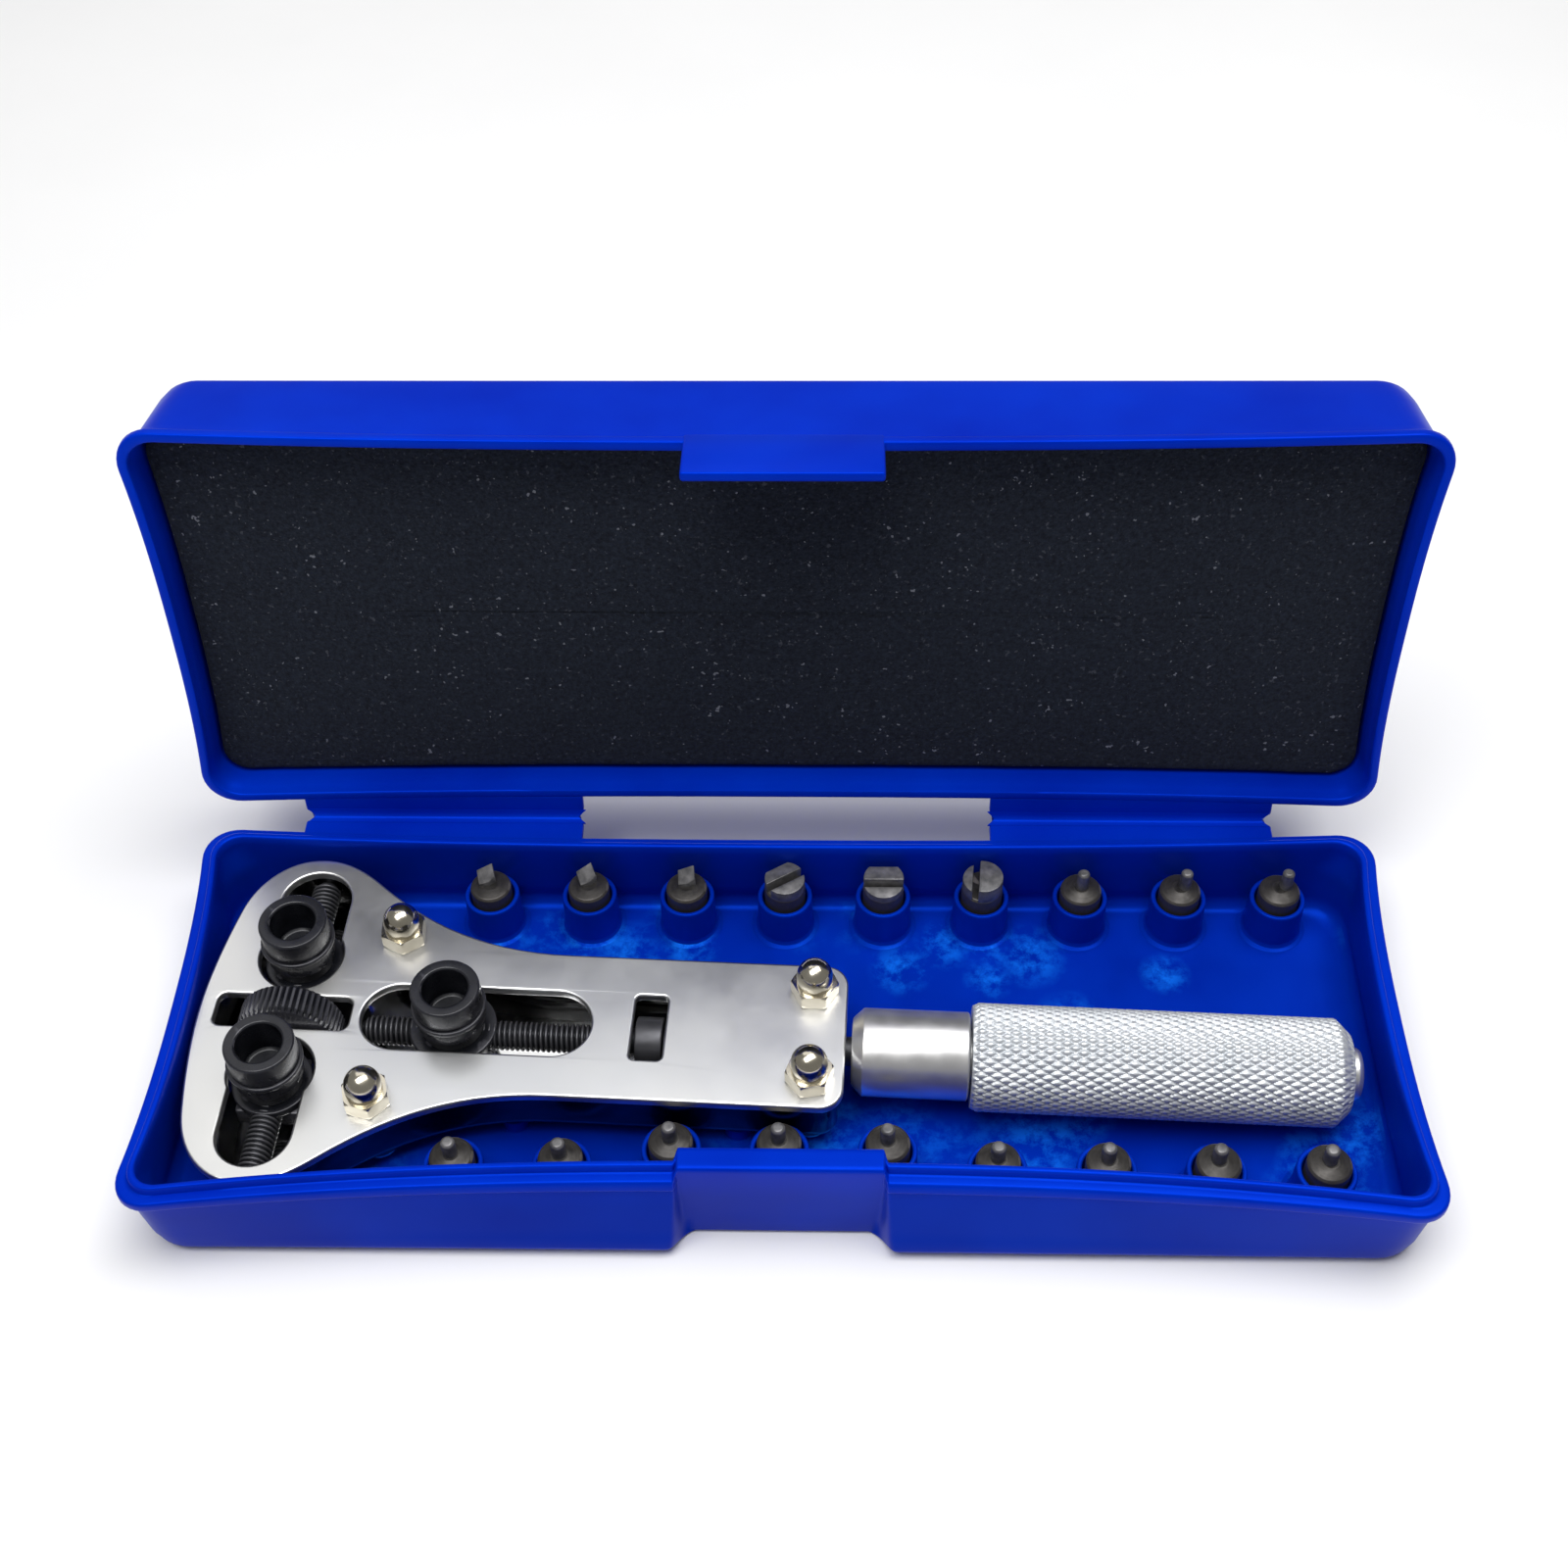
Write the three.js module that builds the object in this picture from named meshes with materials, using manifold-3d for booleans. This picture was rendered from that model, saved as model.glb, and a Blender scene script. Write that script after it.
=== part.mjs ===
// Watch case back opener kit: an adjustable three-jaw case wrench lying in its moulded plastic
// case, with two rows of nine loose bits. Millimetres, +Z up. The origin is the middle of the
// case's underside, +X runs along the case towards the wrench's handle and +Y towards the hinge.

import * as THREE from 'three';
import { mergeVertices } from 'three/addons/utils/BufferGeometryUtils.js';
import Module from 'manifold-3d';

const wasm = await Module();
wasm.setup();

// ---- driving dimensions ------------------------------------------------------------------

const GAP = 0.3; // clearance between separate pieces

const CASE = {
  length: 168,
  width: 62,
  baseHeight: 14, // to the ledge that the lid closes on
  lidHeight: 17,
  wall: 1.5,
  floor: 1.6,
  corner: 5.7, // plan radius of the rim's corners
  draft: 1.8, // how far the bottom edge stands in from the rim
  edge: 2.0, // rounding of the bottom edge
  bandHeight: 1.5, // the rim's outward band
  bandProud: 0.7,
  ledge: 1.6, // width of the ledge the lid sits on
  lip: 1.0, // thickness of the raised inner lip
  lipHeight: 1.2,
};

// How far the middle of each rim side has sunk inwards as the moulding cooled.
const BASE_BOW = { front: 4.65, side: 2.12, back: 1.69 };
const LID_BOW = { front: 1.34, side: 1.64, back: 1.5 };
const BOW_POWER = 2.5;

const HINGE = {
  y: CASE.width / 2 + 2.2,
  z: CASE.baseHeight + GAP / 2,
  openDegrees: 97,
  webInner: 29.2, // each web runs from webInner to webOuter on both sides of the middle
  webOuter: 69.4,
  webRadius: 0.4,
  flange: 1.2,
};

const LATCH = {
  left: -12.9,
  right: 13.5,
  faceY: -25.5, // front face of the recess in the base
  shelf: 3.4, // width of the recess wall's top
  sideWall: 1.4,
  tabDrop: 7.1, // how far the lid's tab hangs below the rim
  tabThickness: 1.3,
};

const FOAM = { below: 4.6, inset: 2.25 }; // its face lies this far inside the lid's rim

const BIT = {
  radius: 2.9,
  shoulder: 10.0,
  count: 9,
  first: -42.2,
  pitch: 14.04,
  backRow: 23.8,
  frontRow: -20.4,
  frontRowBehindLatch: -17.9,
  bossRadius: 3.95,
  bossTop: 8.1,
  sides: 14,
};

// Where each wedge bit's blade stands on its end.
const WEDGES = [
  { turnDegrees: 15, x: -0.6, y: 0.9 },
  { turnDegrees: 25, x: -0.3, y: 1.0 },
  { turnDegrees: 5, x: 0, y: 0.9 },
];

// Each claw bit's slot runs between two lines across the bit. Its rear jaw reaches from the slot
// to back and up to top, and its front jaw up to frontTop.
const CLAWS = [
  { turnDegrees: 32, slot: [-0.75, 0.25], back: 2.2, top: 12.2, frontTop: 11.9 },
  { turnDegrees: 0, slot: [-0.8, -0.4], back: 2.0, top: 12.3, frontTop: 11.2 },
  { turnDegrees: -95, slot: [-1.4, -0.5], back: 2.9, top: 12.7, frontTop: 12.1 },
];

// The wrench has its own frame: origin on the handle's axis at the plate's tail end, +X along
// the handle, +Z up out of the top plate.
const WRENCH = { x: 8.55, y: -3.4, z: 9.1, turnDegrees: -2.55 };

const PLATE = {
  tailHalf: 11.35,
  tailCorner: 3.2,
  headHalf: 26.2,
  headEnd: -87.3,
  top: 3.6,
  thickness: 1.3,
};

const SHELL = { inset: 0.7, wall: 1.4, bottom: -5.6, floor: 0.8, top: PLATE.top - PLATE.thickness - GAP };

const HEAD_SLOT = { x: -75.3, half: 4.9, outer: 18.8, keyholeY: 9.4, keyholeRadius: 5.7 };
const CENTRE_SLOT = { left: -65.1, right: -34.0, half: 5.13 };
const WHEEL_SLOT = { left: -85.0, right: -66.6, half: 2.6, corner: 1.2 };
const WINDOW = { left: -28.5, right: -24.1, half: 5.14, corner: 0.8 };

const SCREWS = [
  { x: -61.6, y: 13.2 },
  { x: -61.6, y: -13.2 },
  { x: -4.5, y: 6.9 },
  { x: -4.5, y: -6.9 },
];
const SCREW = { radius: 1.5, headRadius: 2.75, headHeight: 1.4, hole: 1.8, bossRadius: 3.2 };
const NUT = { acrossFlats: 5.6, hexHeight: 2.2, domeRadius: 2.45, height: 6.1, bore: 1.8 };

const SPINDLE = { radius: 2.0, journal: 1.2, bore: 2.3, journalHole: 1.5 };
const THUMBWHEEL = { radius: 7.0, width: 4.4, chamfer: 0.5 };

const JAW = {
  headY: 9.8,
  centreX: -52.8,
  blockHalf: 4.3,
  blockBottom: -2.2,
  headFlange: 5.3, // radius of the disc that carries a chuck under the plate
  centreFlange: 5.8,
  flangeBottom: 0.7,
  flangeTop: 1.9,
  neckRadius: 4.35, // through the plate's slot
  tubeRadius: 4.6,
  tubeBottom: PLATE.top + GAP,
  tubeTop: 10.7,
  boreRadius: 3.1,
  boreFloor: 5.0,
  grooveZ: 6.1,
  ballZ: 8.6,
};

const HANDLE = {
  start: 0.8,
  shankRadius: 5.9,
  shankChamfer: 1.4,
  gripStart: 16.7,
  gripEnd: 66.2,
  gripRadius: 7.2,
  gripChamfer: 0.8,
  gripEndChamfer: 1.8,
  tangRadius: 3.5,
  end: 67.9,
  boreDepth: 7.0,
};

// ---- materials ---------------------------------------------------------------------------

const finish = (color, roughness, metalness) => new THREE.MeshStandardMaterial({ color, roughness, metalness });

const BLUE_PLASTIC = finish(0x0a24c8, 0.4, 0);
const BLACK_FOAM = finish(0x181a22, 1, 0);
const CHROME = finish(0xd8d8d4, 0.18, 1);
const NICKEL = finish(0xcfc8b4, 0.2, 1);
const BLACK_STEEL = finish(0x24262b, 0.45, 0.8);
const BIT_STEEL = finish(0x55504a, 0.45, 0.9);
const BRIGHT_STEEL = finish(0xb8b8bc, 0.25, 1);
const SATIN_ALUMINIUM = finish(0xd4d6d8, 0.45, 0.9);

// ---- solids ------------------------------------------------------------------------------

function solidOf(geometry) {
  geometry.deleteAttribute('normal');
  geometry.deleteAttribute('uv');
  const merged = mergeVertices(geometry, 1e-4);
  const corners = merged.index.array;
  const triangles = [];
  for (let i = 0; i < corners.length; i += 3) {
    const [a, b, c] = corners.slice(i, i + 3);
    if (a !== b && b !== c && c !== a) triangles.push(a, b, c);
  }
  const mesh = new wasm.Mesh({
    numProp: 3,
    vertProperties: merged.attributes.position.array,
    triVerts: Uint32Array.from(triangles),
  });
  return new wasm.Manifold(mesh);
}

function geometryOf(solid) {
  const mesh = solid.getMesh();
  const geometry = new THREE.BufferGeometry();
  geometry.setAttribute('position', new THREE.BufferAttribute(Float32Array.from(mesh.vertProperties), 3));
  geometry.setIndex(new THREE.BufferAttribute(Uint32Array.from(mesh.triVerts), 1));
  geometry.computeVertexNormals();
  return geometry;
}

const join = (first, ...rest) => rest.reduce((sum, solid) => sum.add(solid), first);
const cut = (first, ...rest) => rest.reduce((left, solid) => left.subtract(solid), first);

// A box between two opposite corners.
function block([x0, y0, z0], [x1, y1, z1]) {
  const geometry = new THREE.BoxGeometry(x1 - x0, y1 - y0, z1 - z0);
  geometry.translate((x0 + x1) / 2, (y0 + y1) / 2, (z0 + z1) / 2);
  return solidOf(geometry);
}

// A turned piece: the profile lists [radius, station] from one end of the axis to the other.
function turned(profile, sides, axis = 'z') {
  const points = profile.map(([radius, station]) => new THREE.Vector2(radius, station));
  const geometry = new THREE.LatheGeometry(points, sides);
  if (axis === 'z') geometry.rotateX(Math.PI / 2);
  if (axis === 'x') geometry.rotateZ(-Math.PI / 2);
  return solidOf(geometry);
}

// A plain round bar along the axis from one station to another.
function bar(radius, from, to, sides, axis = 'z') {
  const profile = [
    [0, from],
    [radius, from],
    [radius, to],
    [0, to],
  ];
  return turned(profile, sides, axis);
}

// An outline pushed straight up from one height to another.
function prism(shape, from, to, curveSegments = 6) {
  const geometry = new THREE.ExtrudeGeometry(shape, { depth: to - from, bevelEnabled: false, curveSegments });
  geometry.translate(0, 0, from);
  return solidOf(geometry);
}

const shapeOf = (points) => new THREE.Shape(points.map(([x, y]) => new THREE.Vector2(x, y)));

// A closed skin through rings of equally many points, capped at the first and the last ring.
function loft(rings) {
  const count = rings[0].length;
  const positions = rings.flat(2);
  const triangles = [];
  for (let ring = 0; ring + 1 < rings.length; ring++) {
    for (let i = 0; i < count; i++) {
      const a = ring * count + i;
      const b = ring * count + ((i + 1) % count);
      triangles.push(a, b, b + count, a, b + count, a + count);
    }
  }
  const lastRing = (rings.length - 1) * count;
  const firstCentre = rings.length * count;
  const lastCentre = firstCentre + 1;
  positions.push(0, 0, rings[0][0][2], 0, 0, rings.at(-1)[0][2]);
  for (let i = 0; i < count; i++) {
    const next = (i + 1) % count;
    triangles.push(firstCentre, next, i, lastCentre, lastRing + i, lastRing + next);
  }
  const geometry = new THREE.BufferGeometry();
  geometry.setAttribute('position', new THREE.Float32BufferAttribute(positions, 3));
  geometry.setIndex(triangles);
  return solidOf(geometry);
}

function meshOf(name, solid, material) {
  const mesh = new THREE.Mesh(geometryOf(solid), material);
  mesh.name = name;
  return mesh;
}

// ---- case --------------------------------------------------------------------------------

// One ring of the case's wall: a rounded rectangle at a height, set in from the rim, with its
// sides sunk by a share of their full bow.
function caseRing(height, inset, bow, share, corner = CASE.corner) {
  const halfLength = CASE.length / 2 - inset;
  const halfWidth = CASE.width / 2 - inset;
  const cornerSteps = 5;
  const ring = [];
  const quarter = Math.PI / 2;
  for (let side = 0; side < 4; side++) {
    const signX = side === 0 || side === 3 ? 1 : -1;
    const signY = side < 2 ? 1 : -1;
    const centreX = signX * (halfLength - corner);
    const centreY = signY * (halfWidth - corner);
    for (let step = 0; step <= cornerSteps; step++) {
      const angle = quarter * (side + step / cornerSteps);
      ring.push([centreX + corner * Math.cos(angle), centreY + corner * Math.sin(angle), height]);
    }
    const alongX = side % 2 === 0;
    const sideSteps = alongX ? 12 : 6;
    const reach = alongX ? halfLength - corner : halfWidth - corner;
    for (let step = 1; step < sideSteps; step++) {
      const along = reach * (1 - (2 * step) / sideSteps);
      if (alongX) ring.push([signY * along, signY * halfWidth, height]);
      else ring.push([signX * halfLength, -signX * along, height]);
    }
  }
  return ring.map(([x, y, z]) => {
    const u = Math.abs(x) / halfLength;
    const v = Math.abs(y) / halfWidth;
    const bowY = (y < 0 ? bow.front : bow.back) * share * (1 - u ** BOW_POWER) * v ** 4;
    const bowX = bow.side * share * (1 - v ** BOW_POWER) * u ** 4;
    return [x - Math.sign(x) * bowX, y - Math.sign(y) * bowY, z];
  });
}

// Where the wall stands in from the rim at a share of its height, 0 at the bottom edge.
const wallInset = (share) => CASE.draft + (CASE.bandProud - CASE.draft) * share;

function baseOuterRings() {
  const ring = (height, inset, share) => caseRing(height, inset, BASE_BOW, share);
  const underBand = CASE.baseHeight - CASE.bandHeight;
  const bowAt = (height) => height / CASE.baseHeight;
  return [
    ring(0, CASE.draft + CASE.edge, 0),
    ring(CASE.edge * 0.3, CASE.draft + CASE.edge * 0.3, 0),
    ring(CASE.edge, wallInset(0), 0.05),
    ring(underBand / 2, wallInset(0.5), bowAt(underBand / 2)),
    ring(underBand, wallInset(1), bowAt(underBand)),
    ring(underBand + 0.1, 0, bowAt(underBand)),
    ring(CASE.baseHeight, 0, 1),
  ];
}

function baseInnerRings() {
  const corner = CASE.corner - CASE.wall;
  const ring = (height, inset, share) => caseRing(height, inset, BASE_BOW, share, corner);
  const lipTop = CASE.baseHeight + CASE.lipHeight;
  const lipInner = CASE.ledge + CASE.lip;
  return [
    ring(CASE.baseHeight, CASE.ledge, 1),
    ring(lipTop, CASE.ledge, 1),
    ring(lipTop, lipInner, 1),
    ring(CASE.baseHeight - 2, lipInner, 0.87),
    ring(CASE.floor + CASE.edge, wallInset(0) + CASE.wall, 0.1),
    ring(CASE.floor, wallInset(0) + CASE.wall + CASE.edge, 0),
  ];
}

// The front wall steps back behind the lid's tab.
function latchRecess(outer) {
  const left = LATCH.left - LATCH.sideWall;
  const right = LATCH.right + LATCH.sideWall;
  const back = LATCH.faceY + LATCH.shelf;
  const lipTop = CASE.baseHeight + CASE.lipHeight;
  const flanks = block([left, -CASE.width, 0], [right, back, CASE.baseHeight]).intersect(outer);
  return flanks.add(block([left, LATCH.faceY - 1, CASE.floor], [right, back, lipTop]));
}

const latchCut = () => block([LATCH.left, -CASE.width, -1], [LATCH.right, LATCH.faceY, 2 * CASE.baseHeight]);

// Both halves carry a flange at each web; the base's lies under the fold and the lid's above it.
function hingeFlanges(bottom, top, inset) {
  const y0 = CASE.width / 2 - inset;
  const y1 = HINGE.y - HINGE.webRadius - GAP;
  return [-1, 1].map((side) => {
    const ends = [side * HINGE.webInner, side * HINGE.webOuter].sort((a, b) => a - b);
    return block([ends[0], y0, bottom], [ends[1], y1, top]);
  });
}

function bitPlaces() {
  const rows = [];
  for (let i = 0; i < BIT.count; i++) {
    const behindLatch = i >= 2 && i <= 4;
    const x = BIT.first + i * BIT.pitch;
    rows.push({ x, back: BIT.backRow, front: behindLatch ? BIT.frontRowBehindLatch : BIT.frontRow });
  }
  return rows;
}

function bossAndBore(x, y) {
  const boss = bar(BIT.bossRadius, CASE.floor / 2, BIT.bossTop, BIT.sides).translate([x, y, 0]);
  const bore = bar(BIT.radius + GAP, CASE.floor + GAP, BIT.bossTop + 1, BIT.sides).translate([x, y, 0]);
  return [boss, bore];
}

// A point of the wrench's frame in the case's frame.
function wrenchPoint(x, y) {
  const turn = THREE.MathUtils.degToRad(WRENCH.turnDegrees);
  const cos = Math.cos(turn);
  const sin = Math.sin(turn);
  return [WRENCH.x + cos * x - sin * y, WRENCH.y + sin * x + cos * y];
}

// Low posts on the floor that the wrench's shell lies on.
function restPosts() {
  const top = WRENCH.z + SHELL.bottom - GAP;
  const places = [-1, 1].flatMap((side) => [wrenchPoint(-44, side * 8.6), wrenchPoint(-14, side * 8.2)]);
  return places.map(([x, y]) => bar(1.8, CASE.floor / 2, top, 10).translate([x, y, 0]));
}

function caseBase() {
  const outerRings = baseOuterRings();
  const tray = loft([...outerRings, ...baseInnerRings()]);
  const recess = latchRecess(loft(outerRings));
  const flanges = hingeFlanges(CASE.baseHeight - HINGE.flange, CASE.baseHeight, 2.2);
  const bosses = bitPlaces().flatMap(({ x, back, front }) => [bossAndBore(x, back), bossAndBore(x, front)]);
  const raised = bosses.map(([boss]) => boss);
  const bores = bosses.map(([, bore]) => bore);
  return cut(join(tray, recess, ...flanges, ...restPosts(), ...raised), latchCut(), ...bores);
}

const LID_RIM = CASE.baseHeight + GAP;
const LID_TOP = LID_RIM + CASE.lidHeight;

function lidShell() {
  const wall = CASE.wall - 0.2;
  const overBand = LID_RIM + CASE.bandHeight;
  const ceiling = LID_TOP - CASE.wall;
  const outer = (height, inset, share) => caseRing(height, inset, LID_BOW, share);
  const inner = (height, inset, share) => caseRing(height, inset, LID_BOW, share, CASE.corner - CASE.wall);
  const middle = (LID_RIM + LID_TOP) / 2;
  // From the ceiling's inside, down to the rim and back up over the outside.
  const rings = [
    outer(LID_TOP, CASE.draft + CASE.edge, 0),
    outer(LID_TOP - CASE.edge * 0.3, CASE.draft + CASE.edge * 0.3, 0),
    outer(LID_TOP - CASE.edge, wallInset(0), 0.05),
    outer(middle, wallInset(0.5), 0.5),
    outer(overBand, wallInset(1), 0.9),
    outer(overBand - 0.1, 0, 0.9),
    outer(LID_RIM, 0, 1),
    inner(LID_RIM, wall, 1),
    inner(ceiling - CASE.edge, wallInset(0) + CASE.wall, 0.1),
    inner(ceiling, wallInset(0) + CASE.wall + CASE.edge, 0),
  ];
  return loft(rings.map((ring) => ring.reverse()));
}

// The tab on the lid's front edge that drops into the base's recess.
function lidTab() {
  const outerY = -(CASE.width / 2 - LID_BOW.front);
  const from = [LATCH.left + 0.7, outerY, LID_RIM - LATCH.tabDrop];
  const to = [LATCH.right - 0.7, outerY + LATCH.tabThickness, LID_RIM + 2];
  return block(from, to);
}

// The lid's flanges stop short of the base's raised lip.
function caseLid() {
  return join(lidShell(), lidTab(), ...hingeFlanges(LID_RIM, LID_RIM + HINGE.flange, 1.7));
}

function lidFoam() {
  const face = LID_RIM + FOAM.below - GAP;
  const back = LID_TOP - CASE.wall - GAP;
  const corner = CASE.corner - CASE.wall;
  const backInset = wallInset(0) + CASE.wall + CASE.edge + GAP;
  return loft([
    caseRing(face, FOAM.inset, LID_BOW, 0.8, corner),
    caseRing(back - CASE.edge, wallInset(0) + CASE.wall + GAP, LID_BOW, 0.12, corner),
    caseRing(back, backInset, LID_BOW, 0, corner),
  ]);
}

function hingeWeb(side) {
  const ends = [side * HINGE.webInner, side * HINGE.webOuter].sort((a, b) => a - b);
  return bar(HINGE.webRadius, ends[0], ends[1], 8, 'x').translate([0, HINGE.y, HINGE.z]);
}

// ---- bits --------------------------------------------------------------------------------

function bitBody(height = BIT.shoulder) {
  const bottom = CASE.floor + 2 * GAP;
  const profile = [
    [0, bottom],
    [BIT.radius - 0.4, bottom],
    [BIT.radius, bottom + 0.4],
    [BIT.radius, height - 0.3],
    [BIT.radius - 0.3, height],
    [0, height],
  ];
  return turned(profile, BIT.sides);
}

// A short blade whose top slopes up to a point, off the bit's middle and turned to its own angle.
function wedgeBit({ turnDegrees, x, y }) {
  const blade = shapeOf([
    [-1.1, BIT.shoulder - 0.5],
    [1.1, BIT.shoulder - 0.5],
    [1.1, BIT.shoulder + 2.2],
    [0.5, BIT.shoulder + 2.6],
    [-1.1, BIT.shoulder + 1.5],
  ]);
  const point = prism(blade, -0.7, 0.7).rotate([90, 0, 0]).rotate([0, 0, turnDegrees]);
  return bitBody().add(point.translate([x, y, 0]));
}

// A wide end split by a slot into a rear jaw and a lower front one.
function clawBit({ turnDegrees, slot, back, top, frontTop }) {
  const reach = BIT.radius + 1;
  const gap = block([-reach, slot[0], BIT.shoulder + 0.4], [reach, slot[1], top + 1]);
  const lowered = block([-reach, -reach, frontTop], [reach, slot[0] + 0.1, top + 1]);
  const behind = block([-reach, back, BIT.shoulder + 0.4], [reach, reach, top + 1]);
  return cut(bitBody(top), gap, lowered, behind).rotate([0, 0, turnDegrees]);
}

function pinBit(radius, height) {
  const pin = bar(radius, BIT.shoulder - 0.5, BIT.shoulder + height, 10);
  return bitBody().add(pin);
}

// ---- wrench body -------------------------------------------------------------------------

// The plate's outline: a straight tail that flares into a rounded triangular head.
function plateOutline() {
  const { tailHalf: t, tailCorner: c, headHalf: h, headEnd: e } = PLATE;
  const shape = new THREE.Shape();
  shape.moveTo(0, -t + c);
  shape.lineTo(0, t - c);
  shape.absarc(-c, t - c, c, 0, Math.PI / 2);
  shape.lineTo(-38, t);
  shape.bezierCurveTo(-50, t, -58.5, t + 4.1, -66.5, h - 4.1);
  shape.bezierCurveTo(-69, h - 2, -72, h, -75.4, h);
  shape.bezierCurveTo(-80.6, h, e + 3, h - 4.2, e + 1.9, h - 9.4);
  shape.bezierCurveTo(e + 1.1, h - 13.4, e, 6, e, 0);
  shape.bezierCurveTo(e, -6, e + 1.1, -h + 13.4, e + 1.9, -h + 9.4);
  shape.bezierCurveTo(e + 3, -h + 4.2, -80.6, -h, -75.4, -h);
  shape.bezierCurveTo(-72, -h, -69, -h + 2, -66.5, -h + 4.1);
  shape.bezierCurveTo(-58.5, -t - 4.1, -50, -t, -38, -t);
  shape.lineTo(-c, -t);
  shape.absarc(-c, -t + c, c, -Math.PI / 2, 0);
  return shape;
}

// The same outline drawn in by a distance.
function insetOutline(distance) {
  const points = plateOutline().extractPoints(6).shape;
  const distinct = points.filter((point, i) => point.distanceTo(points[(i + 1) % points.length]) > 1e-6);
  const count = distinct.length;
  const moved = distinct.map((point, i) => {
    const before = distinct[(i + count - 1) % count];
    const after = distinct[(i + 1) % count];
    const tangent = after.clone().sub(before).normalize();
    return new THREE.Vector2(point.x - tangent.y * distance, point.y + tangent.x * distance);
  });
  return new THREE.Shape(moved);
}

// A slot with round ends between two arc centres on one line.
function slotShape(x0, y0, x1, y1, half) {
  const shape = new THREE.Shape();
  const along = Math.atan2(y1 - y0, x1 - x0);
  const quarter = Math.PI / 2;
  shape.absarc(x1, y1, half, along - quarter, along + quarter);
  shape.absarc(x0, y0, half, along + quarter, along + 3 * quarter);
  return shape;
}

function roundedRectangle(left, right, half, corner) {
  const shape = new THREE.Shape();
  const quarter = Math.PI / 2;
  shape.absarc(right - corner, half - corner, corner, 0, quarter);
  shape.absarc(left + corner, half - corner, corner, quarter, 2 * quarter);
  shape.absarc(left + corner, -half + corner, corner, 2 * quarter, 3 * quarter);
  shape.absarc(right - corner, -half + corner, corner, 3 * quarter, 4 * quarter);
  return shape;
}

// The thumbwheel's slot and the collar's window go through the shell's floor as well.
function throughOpenings(from, to) {
  return [
    prism(roundedRectangle(WHEEL_SLOT.left, WHEEL_SLOT.right, WHEEL_SLOT.half, WHEEL_SLOT.corner), from, to, 3),
    prism(roundedRectangle(WINDOW.left, WINDOW.right, WINDOW.half, WINDOW.corner), from, to, 3),
  ];
}

// The slots that the jaws slide in. Each head slot has a round way in for its jaw's disc.
function jawSlots(from, to) {
  const { x, half, outer, keyholeY, keyholeRadius } = HEAD_SLOT;
  const centreLeft = CENTRE_SLOT.left + CENTRE_SLOT.half;
  const centreRight = CENTRE_SLOT.right - CENTRE_SLOT.half;
  const heads = [-1, 1].flatMap((side) => [
    prism(slotShape(x, side * keyholeY, x, side * outer, half), from, to),
    bar(keyholeRadius, from, to, 24).translate([x, side * keyholeY, 0]),
  ]);
  return [...heads, prism(slotShape(centreLeft, 0, centreRight, 0, CENTRE_SLOT.half), from, to)];
}

const screwHoles = (from, to) => SCREWS.map(({ x, y }) => bar(SCREW.hole, from, to, 14).translate([x, y, 0]));

function topPlate() {
  const bottom = PLATE.top - PLATE.thickness;
  const blank = prism(plateOutline(), bottom, PLATE.top);
  const ends = [bottom - 1, PLATE.top + 1];
  return cut(blank, ...throughOpenings(...ends), ...jawSlots(...ends), ...screwHoles(...ends));
}

// The polished lower half: a shallow tray with a post at each screw and a bearing at each
// spindle end.
function bottomShell() {
  const { inset, wall, bottom, floor, top } = SHELL;
  const inside = bottom + floor;
  const tray = cut(prism(insetOutline(inset), bottom, top), prism(insetOutline(inset + wall), inside, top + 1));
  const open = cut(tray, ...throughOpenings(bottom - 1, inside + 0.01));
  const posts = SCREWS.map(({ x, y }) => bar(SCREW.bossRadius, bottom, top, 16).translate([x, y, 0]));
  const bearing = block([-66.5, -3.5, bottom], [-65.3, 3.5, top]);
  const reach = PLATE.headHalf - inset - wall;
  const headBores = [-1, 1].map((side) => {
    const ends = [side * (reach - 1), side * (reach + 0.9)].sort((a, b) => a - b);
    return bar(SPINDLE.journalHole, ends[0], ends[1], 12, 'y').translate([HEAD_SLOT.x, 0, 0]);
  });
  const centreBore = bar(SPINDLE.journalHole, -67, -65, 12, 'x');
  const tailBore = bar(SPINDLE.bore, -4, 1, 16, 'x');
  return cut(join(open, ...posts, bearing), ...headBores, centreBore, tailBore, ...screwHoles(bottom - 1, top + 1));
}

function clampScrew({ x, y }) {
  const underside = SHELL.bottom - GAP;
  const profile = [
    [0, underside - SCREW.headHeight],
    [SCREW.headRadius - 0.7, underside - SCREW.headHeight],
    [SCREW.headRadius, underside - SCREW.headHeight + 0.7],
    [SCREW.headRadius, underside],
    [SCREW.radius, underside],
    [SCREW.radius, PLATE.top + 3.4],
    [0, PLATE.top + 3.4],
  ];
  return turned(profile, 14).translate([x, y, 0]);
}

function acornNut({ x, y }, index) {
  const base = PLATE.top + GAP;
  const hexRadius = NUT.acrossFlats / 2 / Math.cos(Math.PI / 6);
  const hexagon = bar(hexRadius, base, base + NUT.hexHeight, 6).rotate([0, 0, 12 * index]);
  const domeCentre = base + NUT.height - NUT.domeRadius;
  const dome = [
    [0, base + 0.5],
    [NUT.domeRadius, base + 0.5],
  ];
  for (let step = 0; step <= 4; step++) {
    const angle = (step / 4) * (Math.PI / 2);
    const radius = step === 4 ? 0 : NUT.domeRadius * Math.cos(angle);
    dome.push([radius, domeCentre + NUT.domeRadius * Math.sin(angle)]);
  }
  const bore = bar(NUT.bore, base - 1, base + 3.4, 12);
  return cut(hexagon.add(turned(dome, 16)), bore).translate([x, y, 0]);
}

// ---- spindles ----------------------------------------------------------------------------

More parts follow.
